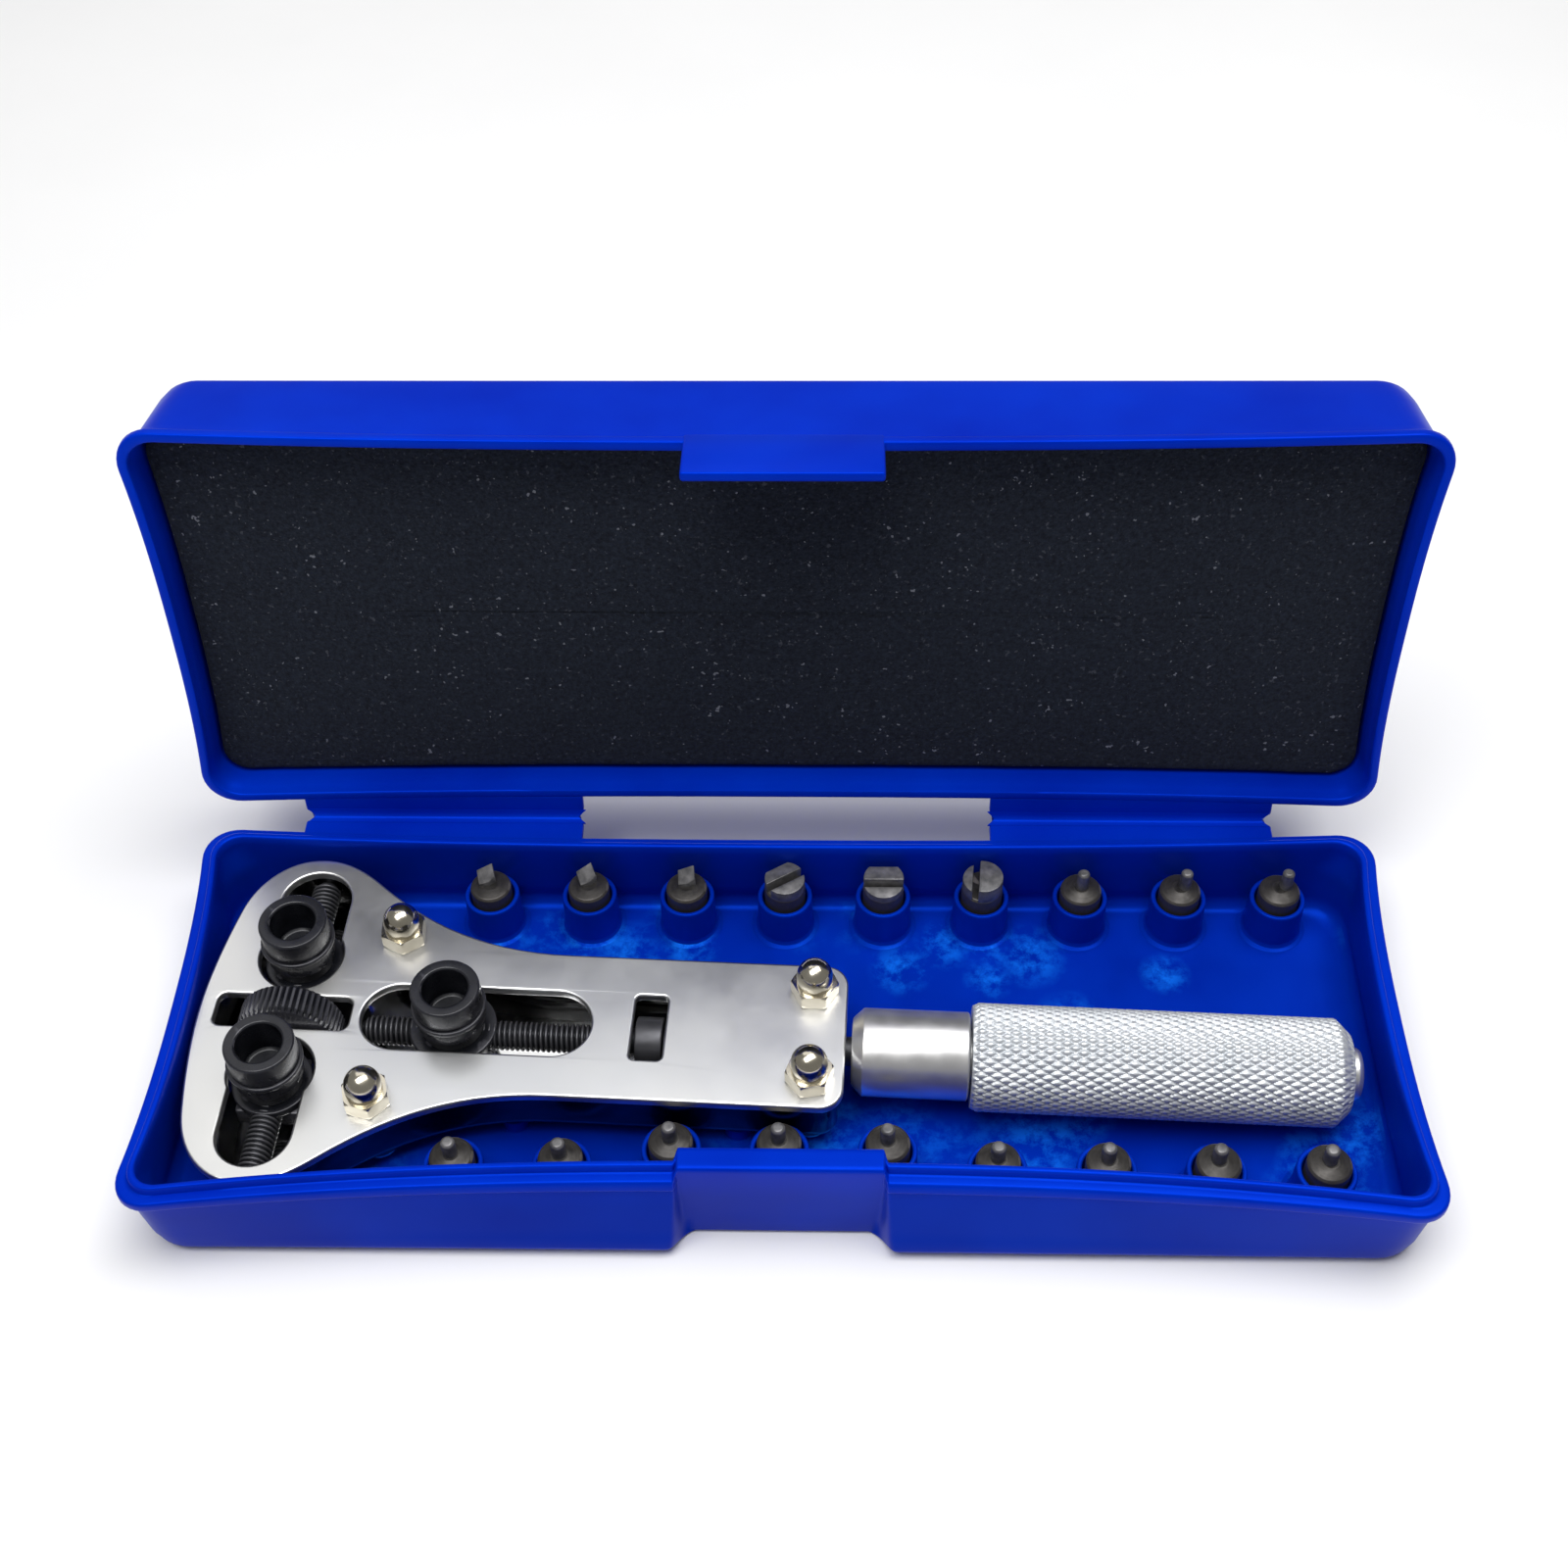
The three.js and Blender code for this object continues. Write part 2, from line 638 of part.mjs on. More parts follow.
function headSpindle() {
  const reach = PLATE.headHalf - SHELL.inset - SHELL.wall;
  const end = reach + 0.6;
  const shoulder = reach - 0.4;
  const profile = [
    [0, -end],
    [SPINDLE.journal, -end],
    [SPINDLE.journal, -shoulder],
    [SPINDLE.radius, -shoulder],
    [SPINDLE.radius, shoulder],
    [SPINDLE.journal, shoulder],
    [SPINDLE.journal, end],
    [0, end],
  ];
  return turned(profile, 16, 'y').translate([HEAD_SLOT.x, 0, 0]);
}

function thumbwheel() {
  const { radius, width, chamfer } = THUMBWHEEL;
  const profile = [
    [SPINDLE.bore, -width / 2],
    [radius - chamfer, -width / 2],
    [radius, -width / 2 + chamfer],
    [radius, width / 2 - chamfer],
    [radius - chamfer, width / 2],
    [SPINDLE.bore, width / 2],
    [SPINDLE.bore, -width / 2],
  ];
  return turned(profile, 36, 'y').translate([HEAD_SLOT.x, 0, 0]);
}

// Threaded under the centre slot, with the thrust collar that turns in the plate's window.
function centreSpindle() {
  const collarLeft = WINDOW.left + 0.4;
  const collarRight = WINDOW.right - 0.4;
  const collarRadius = 3.4;
  const profile = [
    [0, -66.4],
    [SPINDLE.journal, -66.4],
    [SPINDLE.journal, -65],
    [SPINDLE.radius, -65],
    [SPINDLE.radius, collarLeft],
    [collarRadius, collarLeft],
    [collarRadius, collarRight],
    [SPINDLE.radius, collarRight],
    [SPINDLE.radius, HANDLE.start + HANDLE.boreDepth - GAP],
    [0, HANDLE.start + HANDLE.boreDepth - GAP],
  ];
  return turned(profile, 16, 'x');
}

// ---- jaws --------------------------------------------------------------------------------

// Each jaw is built at its own origin on the spindle's axis, then carried to its place.
function jawNut(flangeRadius, spindleAxis) {
  const { blockHalf: b, blockBottom, flangeBottom, flangeTop } = JAW;
  const foot = block([-b, -b, blockBottom], [b, b, flangeBottom + 0.1]);
  const flange = bar(flangeRadius, flangeBottom, flangeTop, 24);
  const neck = bar(JAW.neckRadius, flangeTop - 0.1, PLATE.top, 20);
  const thread = bar(SPINDLE.bore, -8, 8, 16, spindleAxis);
  return cut(join(foot, flange, neck), thread);
}

function chuck() {
  const { tubeRadius: outer, boreRadius: bore, grooveZ: groove } = JAW;
  const grooveRadius = outer - 0.35;
  const profile = [
    [0, JAW.tubeBottom],
    [outer, JAW.tubeBottom],
    [outer, groove],
    [grooveRadius, groove],
    [grooveRadius, groove + 1.1],
    [outer, groove + 1.1],
    [outer, JAW.tubeTop - 0.3],
    [outer - 0.3, JAW.tubeTop],
    [bore + 0.2, JAW.tubeTop],
    [bore, JAW.tubeTop - 0.2],
    [bore, JAW.boreFloor],
    [0, JAW.boreFloor],
  ];
  const ballHole = bar(0.75, bore - 0.5, outer + 0.5, 8, 'x').rotate([0, 0, 200]);
  return cut(turned(profile, 20), ballHole.translate([0, 0, JAW.ballZ]));
}

function snapRing() {
  const inner = JAW.tubeRadius - 0.35 + 0.15;
  const outer = JAW.tubeRadius + 0.4;
  const bottom = JAW.grooveZ + 0.15;
  const top = JAW.grooveZ + 0.95;
  const profile = [
    [inner, bottom],
    [outer, bottom],
    [outer, top],
    [inner, top],
    [inner, bottom],
  ];
  return turned(profile, 20);
}

// The small ball in the chuck's wall that holds a bit.
function catchBall() {
  const ball = solidOf(new THREE.SphereGeometry(0.55, 8, 6));
  return ball.translate([JAW.boreRadius + 0.25, 0, 0]).rotate([0, 0, 200]).translate([0, 0, JAW.ballZ]);
}

function jaw(name, x, y, flangeRadius, spindleAxis) {
  const group = new THREE.Group();
  group.position.set(x, y, 0);
  group.add(
    meshOf(`${name}_jaw_nut`, jawNut(flangeRadius, spindleAxis), BLACK_STEEL),
    meshOf(`${name}_chuck`, chuck(), BLACK_STEEL),
    meshOf(`${name}_snap_ring`, snapRing(), BLACK_STEEL),
    meshOf(`${name}_catch_ball`, catchBall(), BRIGHT_STEEL),
  );
  return group;
}

// ---- handle ------------------------------------------------------------------------------

function handleShank() {
  const { start, shankRadius, shankChamfer, gripStart, tangRadius, end } = HANDLE;
  const profile = [
    [0, start],
    [shankRadius - shankChamfer, start],
    [shankRadius, start + shankChamfer],
    [shankRadius, gripStart - GAP],
    [tangRadius, gripStart - GAP],
    [tangRadius, end - 0.4],
    [tangRadius - 0.4, end],
    [0, end],
  ];
  const socket = bar(SPINDLE.bore, start - 1, start + HANDLE.boreDepth, 16, 'x');
  return cut(turned(profile, 28, 'x'), socket);
}

function handleGrip() {
  const { gripStart, gripEnd, gripRadius, gripChamfer, gripEndChamfer, tangRadius } = HANDLE;
  const bore = tangRadius + GAP;
  const profile = [
    [bore, gripStart],
    [gripRadius - gripChamfer, gripStart],
    [gripRadius, gripStart + gripChamfer],
    [gripRadius, gripEnd - gripEndChamfer],
    [gripRadius - gripEndChamfer, gripEnd],
    [bore, gripEnd],
    [bore, gripStart],
  ];
  return turned(profile, 32, 'x');
}

// ---- assembly ----------------------------------------------------------------------------

function openLid() {
  const closed = new THREE.Group();
  closed.position.set(0, -HINGE.y, -HINGE.z);
  closed.add(meshOf('case_lid', caseLid(), BLUE_PLASTIC));
  closed.add(meshOf('lid_foam', lidFoam(), BLACK_FOAM));
  const swung = new THREE.Group();
  swung.position.set(0, HINGE.y, HINGE.z);
  swung.rotation.x = -THREE.MathUtils.degToRad(HINGE.openDegrees);
  swung.add(closed);
  return swung;
}

function bits() {
  const group = new THREE.Group();
  const place = (name, solid, x, y) => {
    const mesh = meshOf(name, solid, BIT_STEEL);
    mesh.position.set(x, y, 0);
    group.add(mesh);
  };
  bitPlaces().forEach(({ x, back, front }, i) => {
    const number = (i % 3) + 1;
    if (i < 3) place(`wedge_bit_${number}`, wedgeBit(WEDGES[i]), x, back);
    else if (i < 6) place(`claw_bit_${number}`, clawBit(CLAWS[i - 3]), x, back);
    else place(`pin_bit_${number}`, pinBit(0.85, 4.0), x, back);
    place(`pin_bit_${i + 4}`, pinBit(1.0, 3.2), x, front);
  });
  return group;
}

function wrench() {
  const group = new THREE.Group();
  group.position.set(WRENCH.x, WRENCH.y, WRENCH.z);
  group.rotation.z = THREE.MathUtils.degToRad(WRENCH.turnDegrees);
  group.add(
    meshOf('top_plate', topPlate(), CHROME),
    meshOf('bottom_shell', bottomShell(), CHROME),
    meshOf('head_spindle', headSpindle(), BLACK_STEEL),
    meshOf('head_thumbwheel', thumbwheel(), BLACK_STEEL),
    meshOf('centre_spindle', centreSpindle(), BLACK_STEEL),
    meshOf('handle_shank', handleShank(), CHROME),
    meshOf('handle_grip', handleGrip(), SATIN_ALUMINIUM),
    jaw('rear', HEAD_SLOT.x, JAW.headY, JAW.headFlange, 'y'),
    jaw('front', HEAD_SLOT.x, -JAW.headY, JAW.headFlange, 'y'),
    jaw('centre', JAW.centreX, 0, JAW.centreFlange, 'x'),
  );
  SCREWS.forEach((place, i) => {
    group.add(meshOf(`clamp_screw_${i + 1}`, clampScrew(place), NICKEL));
    group.add(meshOf(`acorn_nut_${i + 1}`, acornNut(place, i), NICKEL));
  });
  return group;
}

const kit = new THREE.Group();
kit.add(
  meshOf('case_base', caseBase(), BLUE_PLASTIC),
  meshOf('hinge_web_left', hingeWeb(-1), BLUE_PLASTIC),
  meshOf('hinge_web_right', hingeWeb(1), BLUE_PLASTIC),
  openLid(),
  bits(),
  wrench(),
);

export default kit;
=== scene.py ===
"""Looks of the case back opener kit: an adjustable three-jaw wrench and its loose bits in an open
blue plastic case. Shapes are worked out in millimetres, in the shared frame, and scaled to metres
when they become meshes."""

import math

import bmesh
import bpy
import numpy as np
from mathutils import Matrix, Vector, noise
from mathutils.geometry import tessellate_polygon


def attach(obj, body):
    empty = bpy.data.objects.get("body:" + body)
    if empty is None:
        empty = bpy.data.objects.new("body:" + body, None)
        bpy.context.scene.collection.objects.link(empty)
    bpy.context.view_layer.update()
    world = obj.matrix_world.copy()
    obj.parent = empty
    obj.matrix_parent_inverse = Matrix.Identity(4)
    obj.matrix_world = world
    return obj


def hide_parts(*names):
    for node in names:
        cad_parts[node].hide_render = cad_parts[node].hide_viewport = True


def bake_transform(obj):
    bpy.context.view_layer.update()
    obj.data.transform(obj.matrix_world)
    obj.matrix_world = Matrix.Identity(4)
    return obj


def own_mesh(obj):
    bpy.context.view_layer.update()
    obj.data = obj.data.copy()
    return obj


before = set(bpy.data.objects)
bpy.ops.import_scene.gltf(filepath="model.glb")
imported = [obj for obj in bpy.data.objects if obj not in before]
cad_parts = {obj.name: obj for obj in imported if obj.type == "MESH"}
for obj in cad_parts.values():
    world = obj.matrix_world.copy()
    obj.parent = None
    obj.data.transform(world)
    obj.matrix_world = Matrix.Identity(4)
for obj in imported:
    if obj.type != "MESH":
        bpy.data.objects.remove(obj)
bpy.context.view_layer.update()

MM = 0.001
TAU = 2 * math.pi

# ---- sizes, in millimetres ----

CASE_HALF_LENGTH = 84
CASE_HALF_WIDTH = 31
BASE_Z = 14.0  # the ledge that the lid closes on
LID_Z = 14.3  # the shut lid's edge
LID_TOP = 31.3
CORNER = 5.7
EDGE_ROUND = 2.0  # of the base's lower edges and the lid's upper ones
WALL_FOOT, WALL_HEAD = 1.8, 0.7  # how far a wall's two ends lie inside the rim
BASE_BOW = (4.65, 2.12, 1.69)  # how far the front, ends and back have sunk at mid-rim
LID_BOW = (1.34, 1.64, 1.5)
LATCH_LEFT, LATCH_RIGHT = -12.9, 13.5
LATCH_FACE, LATCH_BACK = -25.5, -22.1
FLOOR_Z = 1.6
# x, y and radius of the pale patches on the tray's floor
FLOOR_MARKS = [(35, 18, 6), (23, 20, 5), (16.5, 15.5, 5), (29, 14, 4)]
FLOOR_MARKS += [(-14, 19, 5), (-30, 18, 5), (54, 15, 4)]

HINGE = Vector((0, 33.2, 14.15))
OPEN_DEGREES = 97
WEB_ENDS = 28.9, 69.2
WEB_REACH = 1.1  # from the fold onto each flange
FOAM_FACE, FOAM_BACK = 18.6, 29.4

BIT_X = [-42.2 + 14.04 * i for i in range(9)]
BACK_Y = 23.8
FRONT_Y = [-17.9 if 2 <= i <= 4 else -20.4 for i in range(9)]
SHOULDER = 10.0  # top of the round part of a bit
BIT_FOOT = 2.2
BIT_RADIUS = 2.9

PLATE_TOP, PLATE_BOTTOM = 3.6, 2.3
SHELL_BOTTOM, SHELL_TOP = -5.6, 2.0
HEAD_X, JAW_Y, CENTRE_X = -75.3, 9.8, -52.8
SCREWS = [(-61.6, 13.2), (-61.6, -13.2), (-4.5, 6.9), (-4.5, -6.9)]
NUT_HALF_FLATS, NUT_SKIRT, NUT_HEIGHT, NUT_DOME = 2.8, 2.4, 6.1, 2.45
PITCH = 0.7  # of both spindles' threads
THREAD_CORE, THREAD_CREST = 1.58, 2.0
GRIP_START, GRIP_END, GRIP_RADIUS, GRIP_BORE = 16.7, 66.2, 7.2, 3.8
KNURL_AROUND, KNURL_LENGTH, KNURL_DEPTH = 37, 2.2, 0.34

WRENCH = Matrix.Translation((8.55, -3.4, 9.1)) @ Matrix.Rotation(math.radians(-2.55), 4, "Z")
OPEN = (
    Matrix.Translation(HINGE)
    @ Matrix.Rotation(-math.radians(OPEN_DEGREES), 4, "X")
    @ Matrix.Translation(-HINGE)
)
AXES = {
    "z": Matrix.Identity(4),
    "x": Matrix.Rotation(math.pi / 2, 4, "Y"),
    "y": Matrix.Rotation(-math.pi / 2, 4, "X"),
}


# ---- camera ----


CAMERA_PLACE = Vector((6.11, -152.7, 233.6))
CAMERA_AZIMUTH, CAMERA_TILT, CAMERA_ROLL = 0.034, 0.720, -0.021  # radians


def make_camera():
    data = bpy.data.cameras.new("camera")
    data.sensor_width = 36
    data.lens = 45.82
    data.clip_start = 0.01
    camera = bpy.data.objects.new("camera", data)
    azimuth = Matrix.Rotation(CAMERA_AZIMUTH, 4, "Z")
    tilt = Matrix.Rotation(CAMERA_TILT, 4, "X")
    roll = Matrix.Rotation(CAMERA_ROLL, 4, "Z")
    camera.matrix_world = Matrix.Translation(CAMERA_PLACE * MM) @ azimuth @ tilt @ roll
    bpy.context.scene.collection.objects.link(camera)
    bpy.context.scene.camera = camera


# ---- mesh tools ----


class Skin:
    """Closed shells gathered in millimetres, which become one mesh object."""

    def __init__(self):
        self.points = []
        self.faces = []

    def add(self, shell, matrix=None):
        points, faces = shell
        start = len(self.points)
        for p in points:
            v = Vector([float(c) for c in p])
            self.points.append(matrix @ v if matrix else v)
        self.faces += [[start + i for i in face] for face in faces]
        return self

    def piece(
        self, name, body, material, slot, replaces=(), placed=None, smooth=40, weighted=False
    ):
        """The gathered shells as one object. smooth is the angle, in degrees, above which an edge
        stays sharp."""
        mesh = bpy.data.meshes.new(name)
        where = placed or Matrix.Identity(4)
        mesh.from_pydata([(where @ p) * MM for p in self.points], [], self.faces)
        bm = bmesh.new()
        bm.from_mesh(mesh)
        bmesh.ops.recalc_face_normals(bm, faces=bm.faces)
        bm.to_mesh(mesh)
        bm.free()
        mesh.shade_smooth()
        mesh.set_sharp_from_angle(angle=math.radians(smooth))
        mesh.materials.append(material)
        made = bpy.data.objects.new(name, mesh)
        bpy.context.scene.collection.objects.link(made)
        if weighted:
            modifier = made.modifiers.new("weighted", "WEIGHTED_NORMAL")
            modifier.keep_sharp = True
        if body:
            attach(made, body)
        if replaces:
            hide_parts(*replaces)
        return made


def grid_shell(grid, closed=False):
    """A shell through rings of equally many points. The first and last ring are capped, unless
    the rings close on themselves as in a tube."""
    grid = np.asarray(grid, float)
    rings, count = grid.shape[:2]
    faces = []
    for r in range(rings if closed else rings - 1):
        a, b = r * count, ((r + 1) % rings) * count
        for i in range(count):
            j = (i + 1) % count
            faces.append((a + i, a + j, b + j, b + i))
    if not closed:
        last = (rings - 1) * count
        faces.append(tuple(range(count))[::-1])
        faces.append(tuple(range(last, last + count)))
    return grid.reshape(-1, 3), faces


def rounded(profile, radius, closed):
    """The profile with each inner corner turned into a small arc."""
    steps = 3
    points = [np.array(p, float) for p in profile]
    count = len(points)
    out = []
    for i, p in enumerate(points):
        if not closed and i in (0, count - 1):
            out.append(tuple(p))
            continue
        before, after = points[i - 1] - p, points[(i + 1) % count] - p
        la, lb = np.linalg.norm(before), np.linalg.norm(after)
        reach = min(radius, 0.45 * la, 0.45 * lb)
        start, end = p + before / la * reach, p + after / lb * reach
        for k in range(steps + 1):
            t = k / steps
            out.append(tuple((1 - t) ** 2 * start + 2 * t * (1 - t) * p + t * t * end))
    return out


def lathe(profile, sides, axis="z", radius=0.0, closed=False):
    """A turned shell from [radius, station] points. An open profile is capped at its ends."""
    if radius:
        profile = rounded(profile, radius, closed)
    angles = np.arange(sides) / sides * TAU
    grid = [[(r * math.cos(a), r * math.sin(a), s) for a in angles] for r, s in profile]
    points, faces = grid_shell(grid, closed)
    return [AXES[axis] @ Vector(p) for p in points], faces


def field(stations, angles, radius_at, axis="z"):
    """A turned shell whose radius changes with both the angle and the station."""
    grid = []
    for s in stations:
        ring = []
        for a in angles:
            r = radius_at(a, s)
            ring.append((r * math.cos(a), r * math.sin(a), s))
        grid.append(ring)
    points, faces = grid_shell(grid)
    return [AXES[axis] @ Vector(p) for p in points], faces


def shifted(loop, distance):
    """A loop moved towards its own left by a distance, with its corners mitred."""
    loop = np.asarray(loop, float)
    ahead = np.roll(loop, -1, 0) - loop
    ahead /= np.linalg.norm(ahead, axis=1)[:, None]
    behind = np.roll(ahead, 1, 0)
    left = np.stack([-ahead[:, 1] - behind[:, 1], ahead[:, 0] + behind[:, 0]], 1)
    left /= np.linalg.norm(left, axis=1)[:, None]
    lean = left[:, 0] * -ahead[:, 1] + left[:, 1] * ahead[:, 0]
    return loop + left * (distance / np.maximum(lean, 0.6))[:, None]


def sheet_shell(outline, holes, profile):
    """A flat plate with holes. profile lists (inset, height) from the bottom edge to the top."""
    loops = [np.asarray(outline)] + [np.asarray(hole)[::-1] for hole in holes]
    points, faces, ends = [], [], [[], []]
    for loop in loops:
        count = len(loop)
        first = len(points)
        for inset, height in profile:
            points += [(x, y, height) for x, y in shifted(loop, inset)]
        for level in range(len(profile) - 1):
            a = first + level * count
            for i in range(count):
                j = (i + 1) % count
                faces.append((a + i, a + j, a + count + j, a + count + i))
        last = first + (len(profile) - 1) * count
        ends[0].append(list(range(first, first + count)))
        ends[1].append(list(range(last, last + count)))
    for level, side in enumerate(ends):
        order = [i for loop in side for i in loop]
        flat = [[Vector(points[i]) for i in loop] for loop in side]
        for triangle in tessellate_polygon(flat):
            corners = [order[i] for i in triangle]
            faces.append(tuple(corners if level else corners[::-1]))
    return points, faces


def edge_profile(bottom, top, low, high, steps=3):
    """(inset, height) pairs for a plate with rounded lower and upper edges."""
    arc = [math.pi / 2 * k / steps for k in range(steps + 1)]
    lower = [(low * (1 - math.sin(a)), bottom + low * (1 - math.cos(a))) for a in arc]
    upper = [(high * (1 - math.cos(a)), top - high * (1 - math.sin(a))) for a in arc]
    return lower + upper


def box_shell(low, high, radius, steps=2):
    """A box with rounded edges all round."""
    (x0, y0, z0), (x1, y1, z1) = low, high
    loop = rounded_rectangle(x0, x1, y0, y1, radius, steps)
    return sheet_shell(loop, [], edge_profile(z0, z1, 0.8 * radius, 0.8 * radius, steps))


def rounded_rectangle(x0, x1, y0, y1, radius, steps):
    """A rectangle with a quarter circle at each corner, counter-clockwise."""
    left, right, low, high = x0 + radius, x1 - radius, y0 + radius, y1 - radius
    loop = []
    for k, (x, y) in enumerate(((right, high), (left, high), (left, low), (right, low))):
        for s in range(steps + 1):
            a = math.pi / 2 * (k + s / steps)
            loop.append((x + radius * math.cos(a), y + radius * math.sin(a)))
    return loop


# ---- materials ----


class Shader:
    """A Principled material whose details come from procedural nodes in object space."""

    def __init__(self, name, **sockets):
        self.material = bpy.data.materials.new(name)
        self.material.use_nodes = True
        self.nodes = self.material.node_tree.nodes
        self.links = self.material.node_tree.links
        self.bsdf = self.nodes["Principled BSDF"]
        self.place = self.nodes.new("ShaderNodeTexCoord").outputs["Object"]
        self.normal = None
        for key, value in sockets.items():
            self.bsdf.inputs[key.replace("_", " ")].default_value = value

    def noise(self, scale, detail=4, rough=0.5, stretch=(1, 1, 1)):
        mapping = self.nodes.new("ShaderNodeMapping")
        mapping.inputs["Scale"].default_value = stretch
        self.links.new(self.place, mapping.inputs["Vector"])
        made = self.nodes.new("ShaderNodeTexNoise")
        made.inputs["Scale"].default_value = scale
        made.inputs["Detail"].default_value = detail
        made.inputs["Roughness"].default_value = rough
        self.links.new(mapping.outputs["Vector"], made.inputs["Vector"])
        return made.outputs["Fac"]

    def cells(self, scale):
        made = self.nodes.new("ShaderNodeTexVoronoi")
        made.inputs["Scale"].default_value = scale
        self.links.new(self.place, made.inputs["Vector"])
        return made.outputs["Distance"]

    def height(self):
        """Height over the table at rest, in metres."""
        made = self.nodes.new("ShaderNodeSeparateXYZ")
        self.links.new(self.place, made.inputs[0])
        return made.outputs["Z"]

    def facing_up(self):
        """1 on faces that look up, 0 on walls and undersides."""
        geometry = self.nodes.new("ShaderNodeNewGeometry")
        made = self.nodes.new("ShaderNodeSeparateXYZ")
        self.links.new(geometry.outputs["True Normal"], made.inputs[0])
        return self.remap(made.outputs["Z"], 0.5, 0.8)

    def near(self, point, radius):
        """1 at a point given in millimetres, falling to 0 at a radius around it."""
        made = self.nodes.new("ShaderNodeVectorMath")
        made.operation = "DISTANCE"
        self.links.new(self.place, made.inputs[0])
        made.inputs[1].default_value = [c * MM for c in point]
        return self.remap(made.outputs["Value"], radius * MM, 0.3 * radius * MM)

    def remap(self, value, low, high, to_low=0.0, to_high=1.0):
        made = self.nodes.new("ShaderNodeMapRange")
        made.inputs["From Min"].default_value = low
        made.inputs["From Max"].default_value = high
        made.inputs["To Min"].default_value = to_low
        made.inputs["To Max"].default_value = to_high
        self.links.new(value, made.inputs["Value"])
        return made.outputs["Result"]

    def spread(self, value, low=0.0, high=1.0):
        """A noise, whose values lie mostly between 0.3 and 0.7, stretched over low to high."""
        return self.remap(value, 0.3, 0.7, low, high)

    def math(self, kind, a, b):
        """A and b joined by a math node. b may be a plain number."""
        made = self.nodes.new("ShaderNodeMath")
        made.operation = kind
        self.links.new(a, made.inputs[0])
        if isinstance(b, float):
            made.inputs[1].default_value = b
        else:
            self.links.new(b, made.inputs[1])
        return made.outputs[0]

    def blend(self, factor, first, second):
        """The first colour where factor is 0, the second where it is 1."""
        made = self.nodes.new("ShaderNodeMix")
        made.data_type = "RGBA"
        self.links.new(factor, made.inputs[0])
        for socket, value in ((made.inputs[6], first), (made.inputs[7], second)):
            if isinstance(value, tuple):
                socket.default_value = (*value, 1)
            else:
                self.links.new(value, socket)
        return made.outputs[2]

    def edge_wear(self):
        """1 along sharp convex edges, 0 elsewhere."""
        geometry = self.nodes.new("ShaderNodeNewGeometry")
        return self.remap(geometry.outputs["Pointiness"], 0.5, 0.56)

    def colour(self, value):
        self.links.new(value, self.bsdf.inputs["Base Color"])
        return self

    def roughness(self, value):
        self.links.new(value, self.bsdf.inputs["Roughness"])
        return self

    def bump(self, height, distance, strength):
        made = self.nodes.new("ShaderNodeBump")
        made.inputs["Strength"].default_value = strength
        made.inputs["Distance"].default_value = distance
        self.links.new(height, made.inputs["Height"])
        if self.normal:
            self.links.new(self.normal, made.inputs["Normal"])
        self.normal = made.outputs["Normal"]
        self.links.new(self.normal, self.bsdf.inputs["Normal"])
        return self


def blue_plastic():
    """Moulded plastic. Below 9 to 14.5 mm in height, so on the base, its colour is painted darker than
    the lid's as shade in the tray, and its floor is paler in patches.
    """
    s = Shader("blue_plastic", Specular_IOR_Level=0.12, Metallic=0.16)
    s.bsdf.inputs["Specular Tint"].default_value = (0.05, 0.3, 1.0, 1)
    s.bsdf.inputs["Subsurface Weight"].default_value = 0.1
    s.bsdf.inputs["Subsurface Radius"].default_value = (0.0002, 0.0006, 0.003)
    s.bsdf.inputs["Subsurface Scale"].default_value = 1.0
    cloud = s.spread(s.noise(40, 3))
    upper = s.blend(cloud, (0.0, 0.018, 0.42), (0.0, 0.030, 0.54))
    lower = s.blend(cloud, (0.0, 0.016, 0.33), (0.0, 0.028, 0.44))
    # painted shade: lower, the darker pair, takes over below 9 to 14.5 mm in height and stands in for
    # the shade in and on the base
    plain = s.blend(s.remap(s.height(), 0.009, 0.0145), lower, upper)
    # pale patches: at the listed places and where a noise runs high, broken up by a fine noise, only on
    # upward faces low in the tray
    mark_mask = s.remap(s.noise(38, 2), 0.54, 0.66)
    for x, y, radius in FLOOR_MARKS:
        mark_mask = s.math("MAXIMUM", mark_mask, s.near((x, y, FLOOR_Z), radius))
    mark_grain = s.math("MULTIPLY", mark_mask, s.remap(s.noise(380, 5, 0.7), 0.42, 0.62))
    low = s.math("MULTIPLY", s.remap(s.height(), 0.004, 0.0022), s.facing_up())
    s.colour(s.blend(s.math("MULTIPLY", mark_grain, low), plain, (0.004, 0.13, 0.74)))
    s.roughness(s.spread(s.noise(160, 2), 0.28, 0.36))
    return s.bump(s.noise(60, 2), 0.0005, 0.15).material


def black_foam():
    """Open-cell foam, with pale lint on it in patches."""
    s = Shader("black_foam", Specular_IOR_Level=0.12)
    grain = s.noise(1700, 5, 0.75)
    lint = s.math("GREATER_THAN", s.noise(1300, 1), 0.73)
    patch = s.math("GREATER_THAN", s.noise(120, 2), 0.5)
    cloth = s.blend(s.remap(grain, 0.35, 0.7), (0.0038, 0.0052, 0.0110), (0.019, 0.026, 0.041))
    dusty = s.blend(s.remap(s.noise(1500, 2), 0.64, 0.72), cloth, (0.05, 0.055, 0.07))
    s.colour(s.blend(s.math("MULTIPLY", lint, patch), dusty, (0.16, 0.17, 0.20)))
    s.bsdf.inputs["Roughness"].default_value = 0.95
    s.bsdf.inputs["Sheen Weight"].default_value = 0.05
    s.bsdf.inputs["Sheen Roughness"].default_value = 0.6
    s.bump(s.cells(2300), 0.0002, 0.5)
    return s.bump(grain, 0.0002, 0.6).material


def polished_nickel():
    """The top plate's plating, with a satin gleam."""
    s = Shader("polished_nickel", Metallic=1.0)
    tint = s.remap(s.noise(30, 2), 0.35, 0.7)
    s.colour(s.blend(tint, (0.74, 0.75, 0.76), (0.85, 0.845, 0.82)))
    s.roughness(s.spread(s.noise(90, 4, 0.6), 0.30, 0.38))
    return s.bump(s.noise(26, 1), 0.0004, 0.12).material


